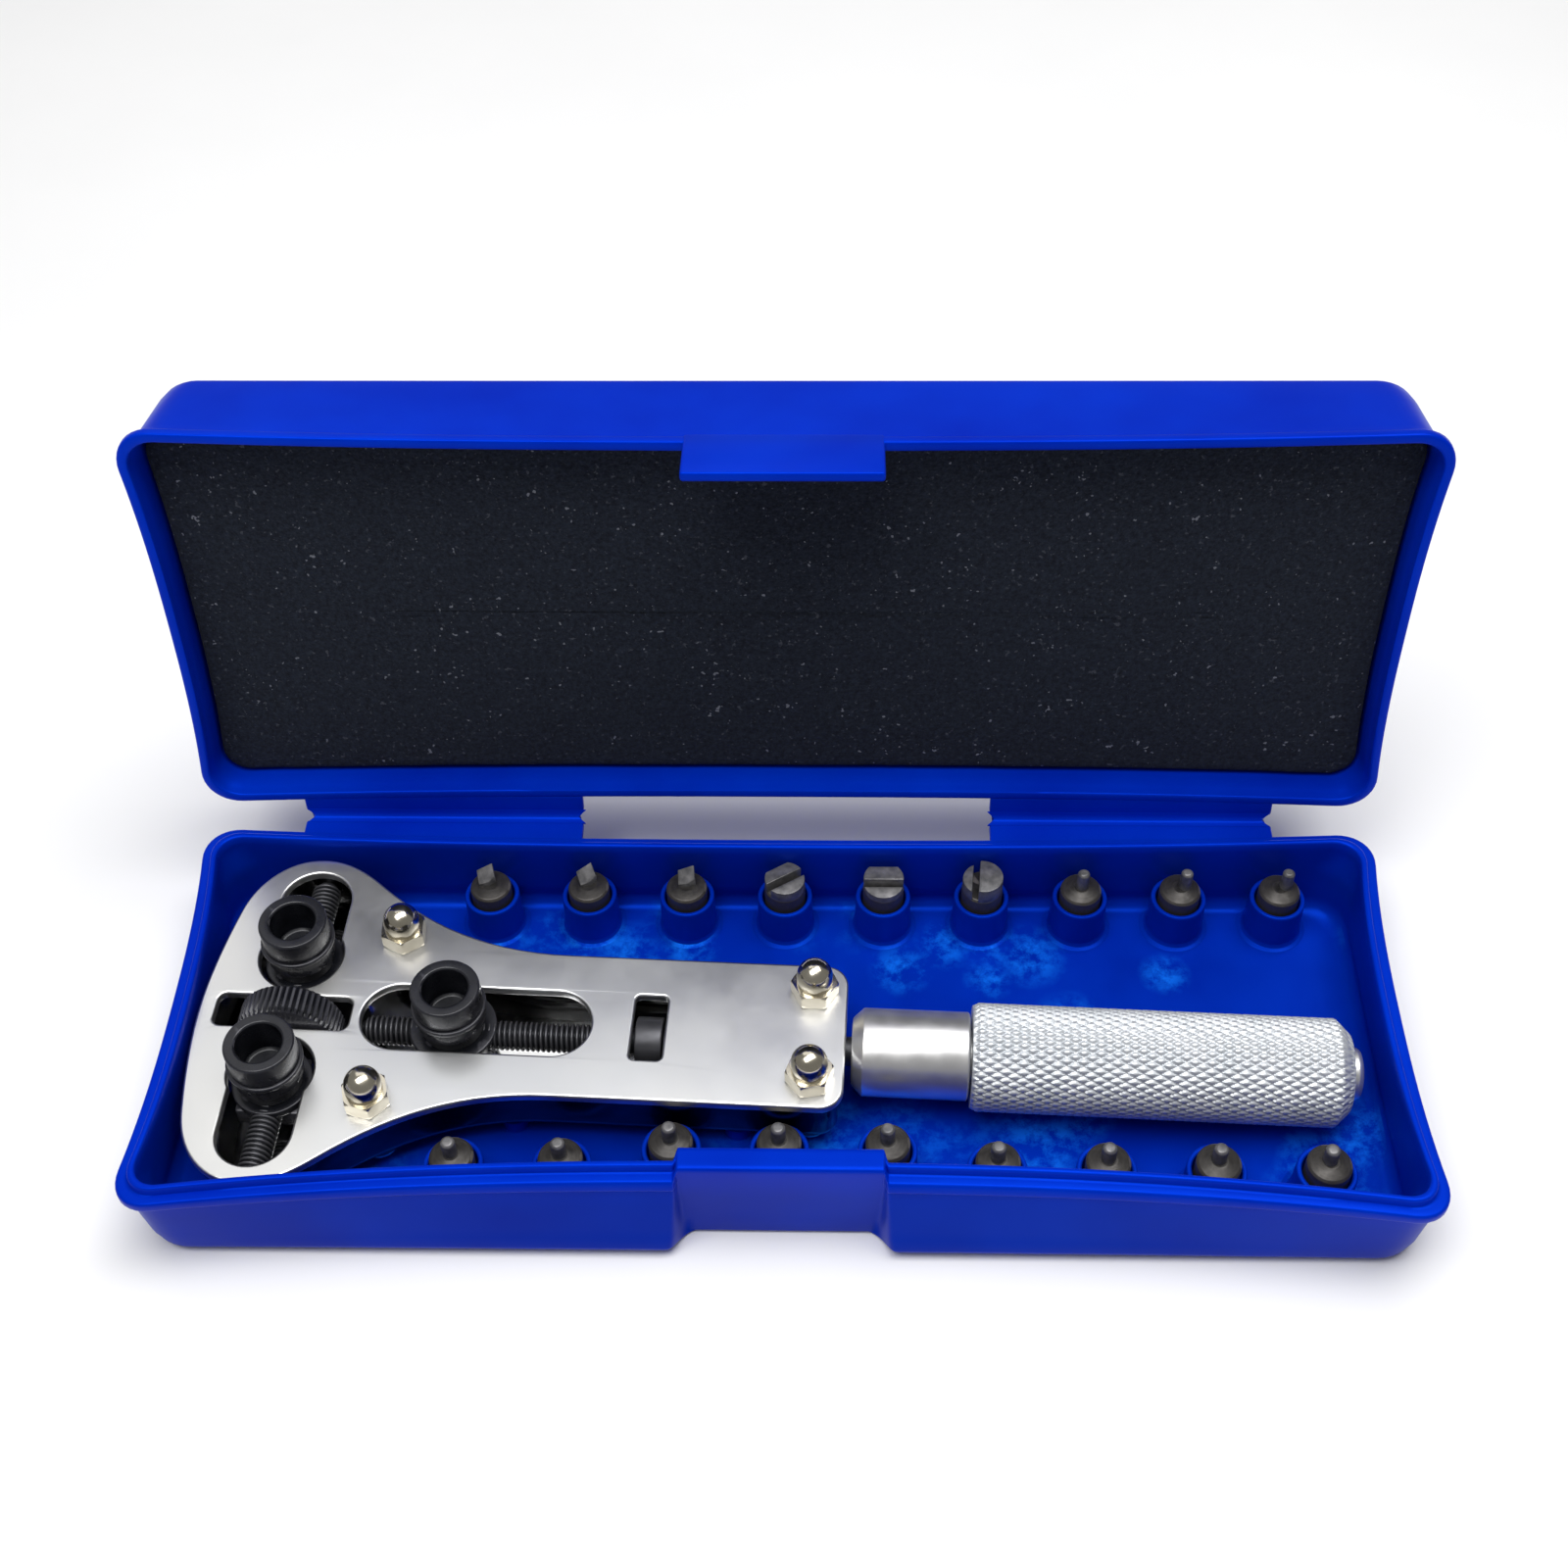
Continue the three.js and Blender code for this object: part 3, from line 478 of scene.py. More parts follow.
def brushed_nickel():
    """The handle shank's plating, rougher and paler than the plate's."""
    s = Shader("brushed_nickel", Metallic=0.9)
    s.colour(s.blend(s.spread(s.noise(60, 3)), (0.82, 0.82, 0.82), (0.92, 0.91, 0.90)))
    s.roughness(s.spread(s.noise(400, 3), 0.30, 0.40))
    return s.bump(s.noise(150, 2), 0.00005, 0.1).material


def bright_chrome():
    """The balls' polish, and the shell's floor."""
    s = Shader("bright_chrome", Metallic=1.0)
    s.colour(s.blend(s.spread(s.noise(70, 2)), (0.78, 0.78, 0.77), (0.88, 0.88, 0.88)))
    s.roughness(s.spread(s.noise(500, 4), 0.06, 0.14))
    return s.bump(s.noise(80, 2), 0.0002, 0.1).material


def painted_shade_chrome():
    """The lower shell's wall: the same plating as the plate, painted nearly black as the shaded tray
    that it mirrors.
    """
    s = Shader("painted_shade_chrome", Metallic=1.0)
    # painted shade: a dark base colour that stands in for the shaded tray mirrored in the wall
    s.colour(s.blend(s.spread(s.noise(70, 2)), (0.04, 0.04, 0.042), (0.09, 0.09, 0.092)))
    s.roughness(s.spread(s.noise(300, 3), 0.08, 0.18))
    return s.bump(s.noise(110, 2), 0.0012, 0.35).material


def warm_nickel():
    """The nuts' and screws' plating, a little yellow."""
    s = Shader("warm_nickel", Metallic=1.0)
    s.colour(s.blend(s.spread(s.noise(200, 3)), (0.66, 0.60, 0.47), (0.82, 0.77, 0.65)))
    s.roughness(s.spread(s.noise(700, 4), 0.12, 0.24))
    return s.bump(s.noise(300, 2), 0.0001, 0.2).material


def black_oxide():
    """Blackened steel, paler along its sharp edges."""
    s = Shader("black_oxide", Metallic=0.2, Specular_IOR_Level=0.5)
    base = s.blend(s.spread(s.noise(350, 4)), (0.0035, 0.004, 0.0065), (0.011, 0.012, 0.017))
    s.colour(s.blend(s.edge_wear(), base, (0.05, 0.05, 0.06)))
    s.roughness(s.spread(s.noise(500, 4), 0.22, 0.36))
    return s.bump(s.noise(1400, 3), 0.00003, 0.4).material


def dark_thread():
    """The spindles' dark steel."""
    s = Shader("dark_thread", Metallic=0.6)
    base = s.blend(s.spread(s.noise(350, 4)), (0.010, 0.011, 0.014), (0.035, 0.036, 0.042))
    s.colour(s.blend(s.edge_wear(), base, (0.10, 0.10, 0.11)))
    return s.roughness(s.spread(s.noise(500, 4), 0.3, 0.48)).material


def bit_steel():
    """Turned steel, with fine rings around each bit. Its body colour is painted dark as shade, because
    the bits stand deep in the case.
    """
    s = Shader("bit_steel", Metallic=0.6, Specular_IOR_Level=0.4)
    turned = s.noise(900, 3, 0.6, stretch=(1, 1, 9))
    # painted shade: these very dark body colours stand in for the shade that falls on the bits inside
    # the case
    base = s.blend(s.spread(turned), (0.011, 0.0105, 0.010), (0.038, 0.036, 0.034))
    s.colour(s.blend(s.edge_wear(), base, (0.17, 0.155, 0.145)))
    s.roughness(s.spread(s.noise(800, 4), 0.34, 0.52))
    return s.bump(turned, 0.00003, 0.5).material


def tip_steel():
    """The bits' ground tips, paler than their bodies."""
    s = Shader("tip_steel", Metallic=0.45)
    s.colour(s.blend(s.spread(s.noise(900, 4)), (0.09, 0.09, 0.095), (0.20, 0.195, 0.20)))
    s.roughness(s.spread(s.noise(1200, 4), 0.32, 0.5))
    return s.bump(s.noise(1800, 2), 0.00003, 0.4).material


def satin_aluminium():
    """The grip's bright satin."""
    s = Shader("satin_aluminium", Metallic=0.6)
    s.colour(s.blend(s.spread(s.noise(250, 4)), (0.60, 0.63, 0.66), (0.71, 0.73, 0.76)))
    s.roughness(s.spread(s.noise(900, 4), 0.42, 0.56))
    return s.bump(s.noise(2400, 2), 0.00002, 0.3).material


def pale_floor():
    """The studio's nearly white floor."""
    s = Shader("pale_floor", Specular_IOR_Level=0.2)
    s.colour(s.blend(s.spread(s.noise(12, 3)), (0.90, 0.90, 0.90), (0.93, 0.93, 0.93)))
    return s.roughness(s.spread(s.noise(200, 3), 0.7, 0.85)).material


FINISHES = [blue_plastic, black_foam, polished_nickel, brushed_nickel, bright_chrome, painted_shade_chrome]
FINISHES += [warm_nickel, black_oxide, dark_thread, bit_steel, tip_steel, satin_aluminium, pale_floor]
MATERIALS = {make.__name__: make() for make in FINISHES}

# ---- case ----

# distances from each end of the latch recess at which a long side has points
EDGE_STEPS = (0.06, 0.13, 0.2, 0.28, 0.38, 0.55, 0.8, 1.1, 1.5, 2.0, 2.6, 3.3)
STEADY_X = 60  # nearer the middle than this, a long side's points have the same x on every ring
CORNER_STEPS = 10


def long_stations():
    """x of the points along a long side, crowded where the latch recess begins and ends."""
    xs = {round(float(x), 3) for x in np.linspace(-77, 77, 53)}
    for edge in (LATCH_LEFT, LATCH_RIGHT):
        xs |= {edge} | {round(edge + s * d, 3) for d in EDGE_STEPS for s in (-1, 1)}
    return sorted(xs)


LONG = long_stations()
SHORT = [float(t) for t in np.linspace(-1, 1, 23)[1:-1]]


def smooth_step(t):
    t = min(max(t, 0.0), 1.0)
    return t * t * (3 - 2 * t)


def ring_outline(half_length, half_width, corner):
    """(x, y, on_front) around a rounded rectangle, counter-clockwise from its right end."""
    reach = half_length - corner
    stretch = (reach - STEADY_X) / (CASE_HALF_LENGTH - CORNER - STEADY_X)
    outline = []
    for side in range(4):
        sx = 1 if side in (0, 3) else -1
        sy = 1 if side < 2 else -1
        for step in range(CORNER_STEPS + 1):
            a = math.pi / 2 * (side + step / CORNER_STEPS)
            x = sx * reach + corner * math.cos(a)
            outline.append((x, sy * (half_width - corner) + corner * math.sin(a), False))
        if side % 2:
            outline += [(sx * half_length, sx * t * (half_width - corner), False) for t in SHORT]
            continue
        front = side == 2
        for x in LONG if front else LONG[::-1]:
            along = min(abs(x), STEADY_X) + max(abs(x) - STEADY_X, 0) * stretch
            outline.append((math.copysign(along, x), sy * half_width, front))
    return outline


def case_ring(z, inset, bow, share, corner=CORNER, latch=None, spread=0.35):
    """One ring of a case wall: a rounded rectangle whose sides have sunk in by a share of bow.
    latch is the (y, z) that the ring takes across the latch recess, and it gets there within
    spread of the recess's ends."""
    half_length, half_width = CASE_HALF_LENGTH - inset, CASE_HALF_WIDTH - inset
    ring = []
    for x, y, on_front in ring_outline(half_length, half_width, corner):
        u, v = min(abs(x) / half_length, 1), min(abs(y) / half_width, 1)
        sink_y = (bow[0] if y < 0 else bow[2]) * share * (1 - u**2.5) * v**4
        sink_x = bow[1] * share * (1 - v**2.5) * u**4
        point = [x - math.copysign(sink_x, x), y - math.copysign(sink_y, y), z]
        if latch and on_front:
            enter = smooth_step((x - LATCH_LEFT) / (2 * spread) + 0.5)
            leave = smooth_step((LATCH_RIGHT - x) / (2 * spread) + 0.5)
            point[1] += enter * leave * (latch[0] - point[1])
            point[2] += enter * leave * (latch[1] - point[2])
        ring.append(point)
    return ring


def wall_inset(share):
    return WALL_FOOT + (WALL_HEAD - WALL_FOOT) * share


def base_ring(z, inset, latch_y, latch_z, share=None, spread=0.35):
    """One ring of the base. Above the wall its corner shrinks with the inset."""
    corner = CORNER - 0.577 * max(0, min(inset, 2.6)) if z > 11.9 else CORNER
    share = max(0.0, min(z / BASE_Z, 1)) if share is None else share
    return case_ring(z, inset, BASE_BOW, share, corner, (latch_y, latch_z), spread)


def base_rings():
    """From the underside up the outer wall, over the rim and its lip, and down to the floor."""
    rings = []
    for step in range(8):
        a = math.pi / 2 * step / 7
        inset, z = WALL_FOOT + EDGE_ROUND * (1 - math.sin(a)), EDGE_ROUND * (1 - math.cos(a))
        latch_y = LATCH_FACE + 0.3 * (inset - WALL_FOOT)
        rings.append(base_ring(z, inset, latch_y, 0.35 * z, 0.05 * step / 7, 3.2 - 2.0 * step / 7))
    for z in (3.5, 5, 6.5, 8, 9.5, 11, 11.8):
        rings.append(base_ring(z, wall_inset(z / 12.3), LATCH_FACE, z, spread=1.3 - 0.95 * z / 12))
    for z, inset in ((12.2, 0.7), (12.35, 0.58), (12.42, 0.3), (12.55, 0.08), (12.75, 0.0)):
        rings.append(base_ring(z, inset, LATCH_FACE, z + 0.2))
    # height and inset, and the y and height that the ring takes across the latch recess
    rim_and_lip = (
        (13.6, 0.0, LATCH_FACE, 14.7),
        (13.85, 0.06, LATCH_FACE + 0.02, 15.2),
        (13.97, 0.2, LATCH_FACE + 0.12, 15.45),
        (BASE_Z, 0.4, LATCH_FACE + 0.35, 15.58),
        (BASE_Z, 1.1, -24.7, 15.62),
        (13.98, 1.5, -24.2, 15.62),
        (14.08, 1.6, -23.9, 15.62),
        (14.9, 1.64, -23.5, 15.62),
        (15.1, 1.72, -23.2, 15.62),
        (15.2, 1.9, -22.9, 15.62),
        (15.2, 2.25, -22.55, 15.6),
        (15.12, 2.48, -22.25, 15.5),
        (14.95, 2.58, -22.12, 15.25),
    )
    rings += [base_ring(*row) for row in rim_and_lip]
    inner_head, inner_foot, floor_round = 2.6, 3.3, 2
    for z in (13.5, 12, 10, 8, 6, 4.6):
        inset = inner_head + (inner_foot - inner_head) * (1 - (z - 3.6) / 10)
        share = max(0.1, z / BASE_Z)
        rings.append(base_ring(z, inset, LATCH_BACK, z, share, 0.5))
    for step in range(6):
        a = math.pi / 2 * step / 5
        inward, z = floor_round * (1 - math.cos(a)), FLOOR_Z + floor_round * (1 - math.sin(a))
        share = 0.1 * (1 - step / 5)
        rings.append(base_ring(z, inner_foot + inward, LATCH_BACK + inward, z, share, 0.8))
    return rings


def boss(x, y):
    """A socket on the case's floor for one bit, with a small fillet at its foot."""
    outside = [(2.0, 1.2), (5.0, 1.2), (4.9, 1.62), (4.25, 1.75), (4.0, 2.3), (3.9, 7.9), (3.75, 8.1)]
    inside = [(3.4, 8.1), (3.22, 7.95), (3.2, 1.9), (2.0, 1.9)]
    shell = lathe(outside + inside, 40, radius=0.12, closed=True)
    return shell, Matrix.Translation((x, y, 0))


def hinge_flange(bottom, top, side, back):
    """The ledge behind a wall that a hinge web holds on to."""
    x0, x1 = sorted((side * 29.2, side * 69.4))
    return box_shell((x0, back, bottom), (x1, 32.5, top), 0.35)


def rest_post(x, y):
    """A low post on the tray's floor, at a place given in the wrench's own frame."""
    place = WRENCH @ Vector((x, y, 0))
    shell = lathe([(0.4, 1.2), (2.1, 1.2), (1.8, 1.8), (1.7, 3.4), (0.4, 3.4)], 24, radius=0.2)
    return shell, Matrix.Translation((place.x, place.y, 0))


def make_base():
    skin = Skin().add(grid_shell(base_rings()))
    for x, front in zip(BIT_X, FRONT_Y):
        skin.add(*boss(x, BACK_Y)).add(*boss(x, front))
    for side in (-1, 1):
        skin.add(hinge_flange(12.8, 13.98, side, 28.85))
    for x, y in ((-44, 8.6), (-44, -8.6), (-14, 8.2), (-14, -8.2)):
        skin.add(*rest_post(x, y))
    blue = MATERIALS["blue_plastic"]
    skin.piece("blue_case_base", "case", blue, "blue_plastic", ["case_base"], smooth=50)


def lid_rings():
    """In the shut position, from the top down the outer wall, round the rim and up inside."""
    rings = []
    depth = LID_TOP - LID_Z

    def ring(z, inset, share, corner=CORNER):
        rings.append(case_ring(z, inset, LID_BOW, share, corner))

    for step in range(8):
        a = math.pi / 2 * step / 7
        inset, z = WALL_FOOT + EDGE_ROUND * (1 - math.sin(a)), LID_TOP - EDGE_ROUND * (1 - math.cos(a))
        ring(z, inset, 0.05 * step / 7)
    for z in (27.5, 25, 22.5, 20, 18, 16.5):
        share = (LID_TOP - z) / depth
        ring(z, wall_inset(share), share)
    rim = ((16.05, 0.7), (15.9, 0.55), (15.82, 0.3), (15.7, 0.08), (15.5, 0), (14.75, 0))
    rim += ((14.45, 0.06), (14.33, 0.18), (LID_Z, 0.4))
    for z, inset in rim:
        ring(z, inset, 1)
    inner = ((LID_Z, 1.1), (14.36, 1.3), (14.6, 1.42), (15.4, 1.46))
    inner += ((15.8, 1.7), (18, 2.0), (22, 2.3), (26, 2.6))
    for z, inset in inner:
        ring(z, inset, (LID_TOP - z) / depth, CORNER - 0.7 * min(inset, 2.1))
    for z, inset in ((28.5, 3.2), (29.5, 4.2), (29.8, 5.5)):
        ring(z, inset, 0.08, 4.2)
    return rings


def make_lid():
    skin = Skin().add(grid_shell(lid_rings()))
    skin.add(box_shell((-12.15, -29.72, 7.25), (12.85, -28.4, 16.1), 0.4, 3))  # the tab
    for side in (-1, 1):
        skin.add(hinge_flange(14.32, 15.5, side, 29.35))
    blue = MATERIALS["blue_plastic"]
    skin.piece("blue_case_lid", "lid", blue, "blue_plastic", ["case_lid"], OPEN, smooth=50)


def web_section():
    """(y, z) around a hinge web, from its part on the base, round the fold, to the lid's."""
    unfold = Matrix.Rotation(-math.radians(OPEN_DEGREES), 4, "X")
    bend = 0.38
    section = [(-WEB_REACH, -0.35), (-0.6, -bend)]
    for k in range(9):
        a = math.radians(-90 + 83 * k / 8)
        section.append((bend * math.cos(a) - 0.1, bend * math.sin(a)))
    for y, z in ((-0.6, bend), (-WEB_REACH, 0.35), (-WEB_REACH, 0.12), (-0.5, 0.12)):
        on_lid = unfold @ Vector((0, y, z))
        section.append((on_lid.y, on_lid.z))
    return section + [(-0.08, 0.02), (-0.5, -0.12), (-WEB_REACH, -0.12)]


def make_hinge_web(side, name, node):
    """The thin strip that joins both flanges, with a notch at each end of its fold."""
    section = web_section()
    x0, x1 = WEB_ENDS
    steps, notch = 40, 1 / 16
    grid = []
    for i in range(steps + 1):
        t = i / steps
        pinch = WEB_REACH * (max(0, 1 - t / notch) + max(0, 1 - (1 - t) / notch))
        ring = []
        for y, z in section:
            shrink = pinch * max(0.0, 1 - math.hypot(y, z) / WEB_REACH)
            x = x0 + (x1 - x0) * t + (shrink if t < 0.5 else -shrink)
            ring.append((side * x, HINGE.y + y, HINGE.z + z))
        grid.append(ring)
    blue = MATERIALS["blue_plastic"]
    web = Skin().add(grid_shell(grid)).piece(name, None, blue, "blue_plastic", [node], smooth=60)
    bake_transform(web)


def foam_ring(z, inset, rough=0.0):
    """One ring of the foam, roughened a little. Its bow shrinks with the inset, so that the
    innermost ring is a line."""
    share = 0.88 * (1 - inset / CASE_HALF_WIDTH)
    ring = case_ring(z, inset, LID_BOW, share, max(4.0 - 0.4 * max(inset - 3, 0), 0.3))
    for point in ring:
        x, y = point[:2]
        broad = noise.noise(Vector((x * 0.13, y * 0.13, 1)))
        fine = noise.noise(Vector((x * 0.7, y * 0.7, 5)))
        point[2] += rough * 0.14 * (broad + 0.6 * fine)
        point[1] += 0.06 * rough * noise.noise(Vector((x * 0.8, y * 0.8, 9)))
    return ring


def make_foam():
    rings = [foam_ring(FOAM_BACK, 4.6)]
    rings += [foam_ring(z, 3.0, 0.3) for z in (27.5, 25, 22, 20)]
    edge = ((19.3, 2.5), (18.9, 2.6), (18.68, 2.9), (FOAM_FACE, 3.4))
    rings += [foam_ring(z, inset, 0.7) for z, inset in edge]
    for inset in np.linspace(4.2, CASE_HALF_WIDTH - 0.4, 24):
        rings.append(foam_ring(FOAM_FACE, float(inset), 1.0))
    black = MATERIALS["black_foam"]
    skin = Skin().add(grid_shell(rings))
    foam = skin.piece("lid_foam_pad", "lid", black, "black_foam", ["lid_foam"], OPEN, smooth=80)
    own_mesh(foam)


# ---- bits ----


def bit_body(top, crown):
    """The round part of a bit, with a low crown on its top."""
    profile = [(0.2, BIT_FOOT), (BIT_RADIUS - 0.45, BIT_FOOT), (BIT_RADIUS, BIT_FOOT + 0.45)]
    profile += [(BIT_RADIUS, top - 0.3), (BIT_RADIUS - 0.3, top), (1.1, top + crown), (0.2, top + crown)]
    return lathe(profile, 40, radius=0.1)


def chord_loop(low, high):
    """The part of a bit's circle whose y lies between two lines, counter-clockwise."""
    radius, steps = BIT_RADIUS - 0.05, 14
    a0, a1 = math.asin(max(low / radius, -1)), math.asin(min(high / radius, 1))
    right = [a0 + (a1 - a0) * k / steps for k in range(steps + 1)]
    loop = [(radius * math.cos(a), radius * math.sin(a)) for a in right]
    loop += [(-x, y) for x, y in loop[::-1]]
    clean = []
    for point in loop:
        if not clean or math.dist(point, clean[-1]) > 1e-3:
            clean.append(point)
    if math.dist(clean[0], clean[-1]) < 1e-3:
        clean.pop()
    return clean


def wedge_tip(turn, x, y):
    """A small blade whose broad front facet slopes up to a point."""
    base = [(-1.25, -1.0), (0.2, -1.25), (1.25, -0.9), (1.2, 0.8), (-1.2, 0.8)]
    grid = []
    for k, shrink in ((0, 1.0), (0.92, 0.98), (1, 0.9)):
        ring = []
        for u, v in base:
            rise = 0.75 + 0.35 * (u + 1.2) + 0.62 * (v + 1.2)
            height = SHOULDER - 0.2 + k * rise
            ring.append((u * shrink, v * shrink, height))
        grid.append(ring)
    place = Matrix.Translation((x, y, 0)) @ Matrix.Rotation(math.radians(turn), 4, "Z")
    return grid_shell(grid), place


def claw_jaws(turn, slot, back, top, front_top):
    """A rear jaw and a lower front one with a slot between them."""
    spin = Matrix.Rotation(math.radians(turn), 4, "Z")
    root = SHOULDER - 1.5
    rear = sheet_shell(chord_loop(slot[1], back), [], edge_profile(root, top, 0.05, 0.18, 2))
    low_front = chord_loop(-2.84, slot[0])
    front = sheet_shell(low_front, [], edge_profile(root, front_top, 0.05, 0.18, 2))
    return [(rear, spin), (front, spin)]


def pin_tip(radius, height, shift):
    top = SHOULDER + height
    foot = [(0.05, SHOULDER - 0.2), (radius + 0.25, SHOULDER - 0.2), (radius + 0.05, SHOULDER + 0.45)]
    profile = foot + [(radius, top - 0.3), (radius - 0.3, top), (0.05, top)]
    return lathe(profile, 24, radius=0.15), Matrix.Translation((*shift, 0))


def make_bit(node, x, y, tips, crown=0.25, top=SHOULDER):
    place = Matrix.Translation((x, y, 0))
    body = Skin().add(bit_body(top, crown))
    body.piece(f"{node}_shank", node, MATERIALS["bit_steel"], "bit_steel", [node], place)
    ends = Skin()
    for shell, matrix in tips:
        ends.add(shell, matrix)
    ends.piece(f"{node}_tip", node, MATERIALS["tip_steel"], "bit_steel", (), place)


WEDGES = [(15, -0.6, 0.9), (25, -0.3, 1.0), (5, 0, 0.9)]  # turn in degrees, x and y
CLAWS = [  # turn in degrees, the slot's sides, the rear jaw's back, tops of rear and front jaw
    (32, (-0.75, 0.25), 2.2, 12.2, 11.9),
    (0, (-0.8, -0.4), 2.0, 12.3, 11.2),
    (-95, (-1.4, -0.5), 2.84, 12.7, 12.1),
]
REAR_PIN_SHIFTS = [(0.1, 0), (0.6, 0.2), (0.8, 0.3)]


def make_bits():
    for i, x in enumerate(BIT_X):
        number = i % 3 + 1
        if i < 3:
            make_bit(f"wedge_bit_{number}", x, BACK_Y, [wedge_tip(*WEDGES[i])])
        elif i < 6:
            jaws = claw_jaws(*CLAWS[i - 3])
            make_bit(f"claw_bit_{number}", x, BACK_Y, jaws, 0.0, SHOULDER + 0.4)
        else:
            pin = pin_tip(0.85, 3.6, REAR_PIN_SHIFTS[i - 6])
            make_bit(f"pin_bit_{number}", x, BACK_Y, [pin], 0.5)
        make_bit(f"pin_bit_{i + 4}", x, FRONT_Y[i], [pin_tip(0.95, 3.1, (-0.1, 0.2))], 0.5)


# ---- wrench ----


def curve(start, *arcs):
    """Points along joined cubic curves, each given by two handles and its end."""
    steps = 14
    points = [start]
    for a, b, end in arcs:
        p = [np.array(q, float) for q in (points[-1], a, b, end)]
        for k in range(1, steps + 1):
            t = k / steps
            weights = ((1 - t) ** 3, 3 * t * (1 - t) ** 2, 3 * t * t * (1 - t), t**3)
            points.append(tuple(sum(w * q for w, q in zip(weights, p))))
    return points


def plate_outline():
    tail, head, end, corner = 11.35, 26.2, -87.3, 3.2
    flank = curve(
        (-38, tail),
        ((-50, tail), (-58.5, tail + 4.1), (-66.5, head - 4.1)),
        ((-69, head - 2), (-72, head), (-75.4, head)),
        ((-80.6, head), (end + 3, head - 4.2), (end + 1.9, head - 9.4)),
        ((end + 1.1, head - 13.4), (end, 6), (end, 0)),
    )
    arc = [math.pi / 2 * k / 8 for k in range(9)]
    upper = [(-corner + corner * math.cos(a), tail - corner + corner * math.sin(a)) for a in arc]
    upper += [(x, tail) for x in (-8, -16, -24, -31)] + flank
    return upper + [(x, -y) for x, y in upper[-2::-1]]


def keyhole(side):
    """A head slot with its round way in for the jaw's disc."""
    half, circle, outer = 4.9, 5.7, 18.8
    y0 = 9.4
    join = math.asin(half / circle)
    arc = [math.pi / 2 - join, -3 * math.pi / 2 + join]
    loop = []
    for k in range(33):
        a = arc[0] + (arc[1] - arc[0]) * k / 32
        loop.append((circle * math.cos(a), y0 + circle * math.sin(a)))
    for k in range(21):
        a = math.pi - math.pi * k / 20
        loop.append((half * math.cos(a), outer + half * math.sin(a)))
    loop = [(HEAD_X + x, side * y) for x, y in loop]
    return loop if side < 0 else loop[::-1]


def through_openings():
    """The thumbwheel's slot and the window over the thrust collar, which go through the shell too."""
    wheel_slot = rounded_rectangle(-85.0, -66.6, -2.6, 2.6, 1.2, 8)
    window = rounded_rectangle(-28.5, -24.1, -5.14, 5.14, 0.8, 5)
    return [wheel_slot, window]


def jaw_slots():
    return [keyhole(1), keyhole(-1), rounded_rectangle(-65.1, -34.0, -5.13, 5.13, 5.1, 14)]


def wrench_piece(skin, name, body, material, slot, node, place=WRENCH, **options):
    """A piece of the wrench. material is a name in MATERIALS."""
    replaces = [node] if node else ()
    return skin.piece(name, body, MATERIALS[material], slot, replaces, place, **options)


def make_plate():
    edges = edge_profile(PLATE_BOTTOM, PLATE_TOP, 0.2, 0.35, 4)
    skin = Skin().add(sheet_shell(plate_outline(), through_openings() + jaw_slots(), edges))
    wrench_piece(skin, "polished_top_plate", "wrench", "polished_nickel", "polished_nickel",
                 "top_plate", weighted=True)


def make_shell_floor():
    edges = edge_profile(SHELL_BOTTOM, SHELL_BOTTOM + 0.8, 0.1, 0.15)
    skin = Skin().add(sheet_shell(shifted(plate_outline(), 2.8), through_openings(), edges))
    wrench_piece(skin, "polished_shell_floor", "wrench", "bright_chrome", "polished_nickel", None)


def make_shell():
    """The shell's wall, the posts around its screws and the bearing at the centre spindle's end."""
    curl = 2.3
    arc = [math.pi / 2 * k / 8 for k in range(9)]
    section = [(3.0 - curl * math.sin(a), SHELL_BOTTOM + curl * (1 - math.cos(a))) for a in arc]
    section += [(0.7, SHELL_TOP - 0.15), (0.85, SHELL_TOP), (1.95, SHELL_TOP), (2.1, SHELL_TOP - 0.15)]
    section += [(2.1, SHELL_BOTTOM + 1.7), (2.35, SHELL_BOTTOM + 1.0), (3.0, SHELL_BOTTOM + 0.8)]
    outline = plate_outline()
    wall = [[(x, y, z) for x, y in shifted(outline, inset)] for inset, z in section]
    skin = Skin().add(grid_shell(wall, closed=True))
    low, high = SHELL_BOTTOM + 0.1, SHELL_TOP - 0.1
    for x, y in SCREWS:
        post = lathe([(1.8, low), (3.2, low), (3.2, high), (1.8, high)], 32, radius=0.2, closed=True)
        skin.add(post, Matrix.Translation((x, y, 0)))
    skin.add(box_shell((-66.5, -3.5, low), (-65.3, 3.5, high), 0.2))
    # the wall takes the darkened chrome, which is painted shade; the shell's floor keeps the bright one
    wrench_piece(skin, "polished_lower_shell", "wrench", "painted_shade_chrome", "polished_nickel",
                 "bottom_shell", weighted=True)


def acorn_nut():
    """A hexagon with a chamfered top, and a dome on it."""
    base = PLATE_TOP + 0.02
    skirt_top = base + NUT_SKIRT
    dome_start = base + NUT_HEIGHT - NUT_DOME

    def radius(a, s):
        around = (a + math.pi / 6) % (math.pi / 3) - math.pi / 6
        hexagon = NUT_HALF_FLATS / math.cos(around)
        chamfer = 2.95 + 1.9 * max(0.0, min(s - base, skirt_top - s))
        height = s - dome_start
        dome = math.sqrt(max(NUT_DOME**2 - height**2, 0.0)) if height > 0 else NUT_DOME
        skirt = min(hexagon, chamfer) if s < skirt_top else 0.0
        return max(skirt, dome, 0.02)

    steps = (0, 0.1, 0.2, 0.5, 1.2, 1.9, 2.2, 2.3, 2.39, 2.41, 2.6, 3.0, 3.65)
    stations = [base + s for s in steps]
    for degrees in (10, 20, 30, 40, 50, 60, 68, 75, 81, 86, 89.5):
        stations.append(dome_start + (NUT_DOME - 0.001) * math.sin(math.radians(degrees)))
    return field(stations, [TAU * k / 72 for k in range(72)], radius)


